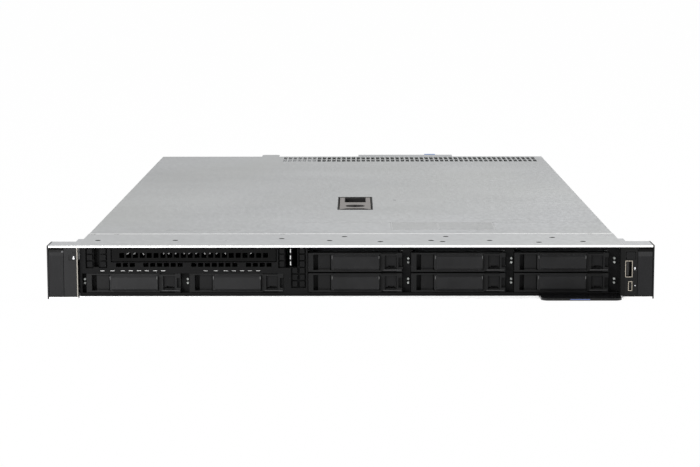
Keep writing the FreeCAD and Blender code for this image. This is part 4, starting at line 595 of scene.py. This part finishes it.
def cover_embossing():
    """Faint embossed lines: three on the cover, the label's edges and a plain band on each pane."""
    bm = bmesh.new()
    for x0, x1, y0, y1 in EMBOSS:
        put_film(bm, (x0, x1), (y0, y1))
    near, far = LABEL_EDGE
    edge_x = (LABEL_X[0] - 0.8, LABEL_X[2] + 0.8)
    put_film(bm, edge_x, (LABEL_Y[0] - far, LABEL_Y[0] - near))
    put_film(bm, edge_x, (LABEL_Y[1] + near, LABEL_Y[1] + far))
    for x in (LABEL_X[0] - 1.0, LABEL_X[1], LABEL_X[2] + 1.0):
        put_film(bm, (x - 0.5, x + 0.5), (LABEL_Y[0] - far, LABEL_Y[1] + far))
    for x0, x1 in zip(LABEL_X, LABEL_X[1:]):
        band = (LABEL_Y[1] - 7.0, LABEL_Y[1] - 2.5)
        put_plate(bm, (x0 + 1.5, x1 - 1.5), band, (TOP + 0.035, TOP + 0.05))
    add("cover_embossing", bm, zinc("emboss_grey", (0.42, 0.425, 0.43), 0.2, 0.5, 0.05), "cover")


def seam_details():
    """The seam's painted highlight, and painted shade in the notches pressed before it and on the small pip
    beside the cover's latch.
    """
    bm = bmesh.new()
    put_film(bm, (-SEAM_HALF, SEAM_HALF), (SEAM_Y - 2.6, SEAM_Y - 0.1), 0.04)
    add("panel_seam_edge", bm, zinc("seam_highlight", (0.96, 0.96, 0.96), 0.2, 0.35, 0.02), "chassis")
    dark = moulded("pressed_shadow", (0.10, 0.10, 0.10), 0.6, strength=0.05)
    bm = bmesh.new()
    for x in SEAM_NOTCHES:
        put_film(bm, (x - 2.0, x + 2.0), (SEAM_Y - 4.4, SEAM_Y - 2.8))
    add("seam_notch_marks", bm, dark, "chassis")
    bm = bmesh.new()
    put_heads(bm, (COVER_PIP,), 1.8, 0.05)
    add("cover_pip", bm, dark, "cover")


def put_heads(bm, places, radius, height):
    """Low round heads on the top face."""
    for x, y in places:
        put_dome(bm, x, y, TOP - SUNK, radius, height)


def top_fasteners():
    """Domed screw and rivet heads on the front panel and the ears' dimples, bright as a painted highlight;
    the dark rivet wells are painted shade.
    """
    bm = bmesh.new()
    put_heads(bm, EAR_DIMPLES, 1.9, 0.07)
    put_heads(bm, PANEL_SCREWS, 2.6, 0.08)
    put_heads(bm, LIGHT_RIVETS, 1.6, 0.06)
    steel = bright("screw_steel_highlight", (0.85, 0.85, 0.86), 0.25, 0.6)
    add("panel_rivet_heads", bm, steel, "chassis", smooth=True)
    bm = bmesh.new()
    put_heads(bm, RIVETS, 2.5, 0.06)
    well = moulded("rivet_well", (0.006, 0.006, 0.006), 0.6, strength=0.05, specular=0.0)
    add("panel_rivet_wells", bm, well, "chassis", smooth=True)


def put_dashes(bm):
    """The shelf's edge, seen as a dash in each small window of the frame, near-white as a painted highlight.
    """
    for column, bay in enumerate(LEFT_BAYS):
        height = (DASH_Z[0], DASH_Z[1] - 0.15 * column)
        for step in WINDOW_STEPS[: len(WINDOW_STEPS) - column]:
            x = bay - CARRIER_HALF + WINDOW_START + step
            put_plate(bm, (x - DASH_HALF, x + DASH_HALF), (FACE_Y + 0.3, FACE_Y + 0.6), height)


def put_clip(bm, hole):
    """A slanted sliver of steel behind one hole of the optical blank, longer behind the first three."""
    length = 2.4 if hole < 4 else 1.3
    tilt = 0.9 if hole % 3 else -0.5
    x = BLANK_X + (hole - HOLE_STEPS / 2) * HOLE_PITCH - tilt
    made = bmesh.ops.create_cube(bm, size=1.0)["verts"]
    bmesh.ops.scale(bm, vec=(0.8, 0.4, length), verts=made)
    bmesh.ops.rotate(bm, matrix=Matrix.Rotation(tilt, 3, "Y"), verts=made)
    bmesh.ops.translate(bm, vec=(x, FACE_Y + 2.2, CLIP_Z), verts=made)


def front_metal():
    """Steel seen through the frame: dashes and strips near-white as painted highlights, and the clips behind
    the optical blank.
    """
    bm = bmesh.new()
    put_dashes(bm)
    for z in STRIP_ZS:
        put_plate(bm, STRIP_X, (FACE_Y + 0.4, FACE_Y + 0.8), (z - 1.5, z + 1.5))
    add("shelf_edge_strips", bm, zinc("shelf_edge_highlight", (0.80, 0.80, 0.80), 0.1, 0.4, 0.1), "chassis")
    bm = bmesh.new()
    for hole in CLIP_HOLES:
        put_clip(bm, hole)
    add("optical_bay_clips", bm, zinc("clip_steel", (0.42, 0.42, 0.42), 0.3, 0.35, 0.6), "chassis")


def lever_ends(number, material):
    """Painted highlights: light upright lines at both ends of a carrier's lever."""
    low, high = span(f"drive_lever_{number}")
    top = high[2] - 1.6
    bm = bmesh.new()
    for x in (low[0] + 0.9, high[0] - 0.25):
        put_plate(bm, (x - 0.2, x + 0.2), (FRONT_Y + 0.9, FRONT_Y + 1.2), (top - 2.4, top))
    add(f"lever_ends_{number}", bm, material, f"lever_{number}")


def button_shadow(number, material):
    """A dark line along the foot of a release button."""
    low, high = span(f"drive_button_{number}")
    face = low[1] - 0.04
    bm = bmesh.new()
    put_plate(bm, (low[0] + 0.4, high[0] - 0.4), (face, face + 0.1), (low[2] + 0.5, low[2] + 1.5))
    add(f"button_shadow_{number}", bm, material, f"button_{number}")


def carrier_ledge(number, material):
    """A lit line on a carrier's face, under its release button."""
    low, high = span(f"drive_button_{number}")
    z = span(f"drive_carrier_{number}")[0][2] + 1.2
    bm = bmesh.new()
    put_plate(bm, (low[0] - 1.5, high[0] + 4.0), (FACE_Y - 0.04, FACE_Y + 0.1), (z, z + 0.7))
    add(f"carrier_ledge_{number}", bm, material, f"carrier_{number}")


def carrier_lines():
    """Fine lines on each carrier: painted highlights at the ends of the lever, the painted shadow under the
    button and the lit ledge.
    """
    lit_edges = moulded("lever_end_highlight", (0.17, 0.17, 0.17), strength=0.05)
    shadow = moulded("button_shadow", (0.0015, 0.0015, 0.0015), strength=0.05, specular=0.0)
    ledge = moulded("lit_ledge", (0.042, 0.042, 0.043), strength=0.05)
    for number in range(1, CARRIER_COUNT + 1):
        lever_ends(number, lit_edges)
        button_shadow(number, shadow)
        carrier_ledge(number, ledge)


def span(node):
    """The low and high corners of a CAD node at rest, in millimetres."""
    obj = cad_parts[node]
    points = [obj.matrix_world @ Vector(corner) / MM for corner in obj.bound_box]
    return [[pick(p[axis] for p in points) for axis in range(3)] for pick in (min, max)]


def ear_details():
    """The dark status lens, a painted glow for its light and for the marks beside the sockets, and a painted
    gleam on the left latch's pin, all plain.
    """
    bm = bmesh.new()
    put_plate(bm, LENS_X, (FRONT_Y + 0.05, FRONT_Y + 0.9), LENS_Z, 0.3)
    dark = moulded("status_lens_dark", (0.012, 0.012, 0.013), 0.2, strength=0.05)
    add("status_lens", bm, dark, "chassis")
    bm = bmesh.new()
    for x, depth, z, radius in EAR_MARKS:
        put_dome(bm, x, FRONT_Y + depth, z, radius, 0.05, "y")
    add("ear_marks", bm, glow("status_lens_white", (0.75, 0.76, 0.78), 0.6), "chassis")
    bm = bmesh.new()
    put_dome(bm, *LATCH_PIN_MARK, 0.8, 0.05, "y")
    add("left_latch_mark", bm, bright("pivot_gleam", (0.12, 0.12, 0.125), 0.4, 0.2), "left_ear_latch")


# Stage
def build_floor():
    """A pale floor that the camera, and what reflects to it, sees as white."""
    n = Nodes("studio_floor")
    path = n.add("ShaderNodeLightPath")
    passed = n.math("MAXIMUM", path.outputs["Is Glossy Ray"], path.outputs["Is Transmission Ray"])
    seen = n.math("MAXIMUM", path.outputs["Is Camera Ray"], passed)
    n.finish(n.mix(n.noise(30.0), (0.80, 0.80, 0.80), (0.82, 0.82, 0.82)), 0.9)
    white = n.add("ShaderNodeEmission", Color=(1, 1, 1, 1), Strength=1.0)
    mix = n.add("ShaderNodeMixShader")
    n.set(mix.inputs[0], n.math("MULTIPLY", seen, 0.99))
    n.set(mix.inputs[1], n.shader.outputs[0])
    n.set(mix.inputs[2], white.outputs[0])
    n.set(n.tree.nodes["Material Output"].inputs["Surface"], mix.outputs[0])
    bm = bmesh.new()
    rim = ((-9000, -6000), (9000, -6000), (9000, 14000), (-9000, 14000))
    bm.faces.new([bm.verts.new((x, y, -0.05)) for x, y in rim])
    add("floor", bm, n.material, None)


def build_world():
    """A pale world that the camera sees as white."""
    world = bpy.data.worlds.new("studio")
    bpy.context.scene.world = world
    world.use_nodes = True
    nodes, links = world.node_tree.nodes, world.node_tree.links
    back = nodes["Background"]
    back.inputs["Color"].default_value = (1.0, 1.0, 1.0, 1.0)
    back.inputs["Strength"].default_value = 0.38
    plain = nodes.new("ShaderNodeBackground")
    plain.inputs["Strength"].default_value = 1.0
    path = nodes.new("ShaderNodeLightPath")
    mix = nodes.new("ShaderNodeMixShader")
    links.new(path.outputs["Is Camera Ray"], mix.inputs[0])
    links.new(back.outputs[0], mix.inputs[1])
    links.new(plain.outputs[0], mix.inputs[2])
    links.new(mix.outputs[0], nodes["World Output"].inputs["Surface"])


def build_lamps():
    """A low key from the front left, a high fill and a strong lamp over the top."""
    lamp("key_lamp", (-750, -850, 300), (-150, 0, 20), 0.6, 8.0)
    lamp("fill_lamp", (900, -1200, 1500), (0, 0, 0), 1.2, 2.0)
    lamp("top_lamp", (900, 450, 1700), (50, 250, 0), 1.4, 31.0)


def lamp(name, place, target, size, power):
    """A soft square lamp: place and target in millimetres, size in metres, power in watts."""
    data = bpy.data.lights.new(name, "AREA")
    data.shape = "SQUARE"
    data.size = size
    data.energy = power
    obj = bpy.data.objects.new(name, data)
    bpy.context.collection.objects.link(obj)
    obj.location = Vector(place) * MM
    way = Vector(target) - Vector(place)
    obj.rotation_euler = way.to_track_quat("-Z", "Y").to_euler()


def build_camera():
    """The camera at its place, with its three turns and its lens."""
    data = bpy.data.cameras.new("main_camera")
    data.sensor_width = 36.0
    data.lens = CAMERA_LENS
    obj = bpy.data.objects.new("main_camera", data)
    bpy.context.collection.objects.link(obj)
    turn = (Matrix.Rotation(math.radians(-CAMERA_YAW), 4, "Z")
            @ Matrix.Rotation(math.radians(90 - CAMERA_PITCH), 4, "X")
            @ Matrix.Rotation(math.radians(CAMERA_ROLL), 4, "Z"))
    obj.matrix_world = Matrix.Translation(Vector(CAMERA_PLACE) * MM) @ turn
    bpy.context.scene.camera = obj


paint_nodes()
cover_label()
cover_embossing()
seam_details()
top_fasteners()
front_metal()
carrier_lines()
ear_details()
build_floor()
build_world()
build_lamps()
build_camera()
bpy.context.scene.view_settings.view_transform = "Standard"
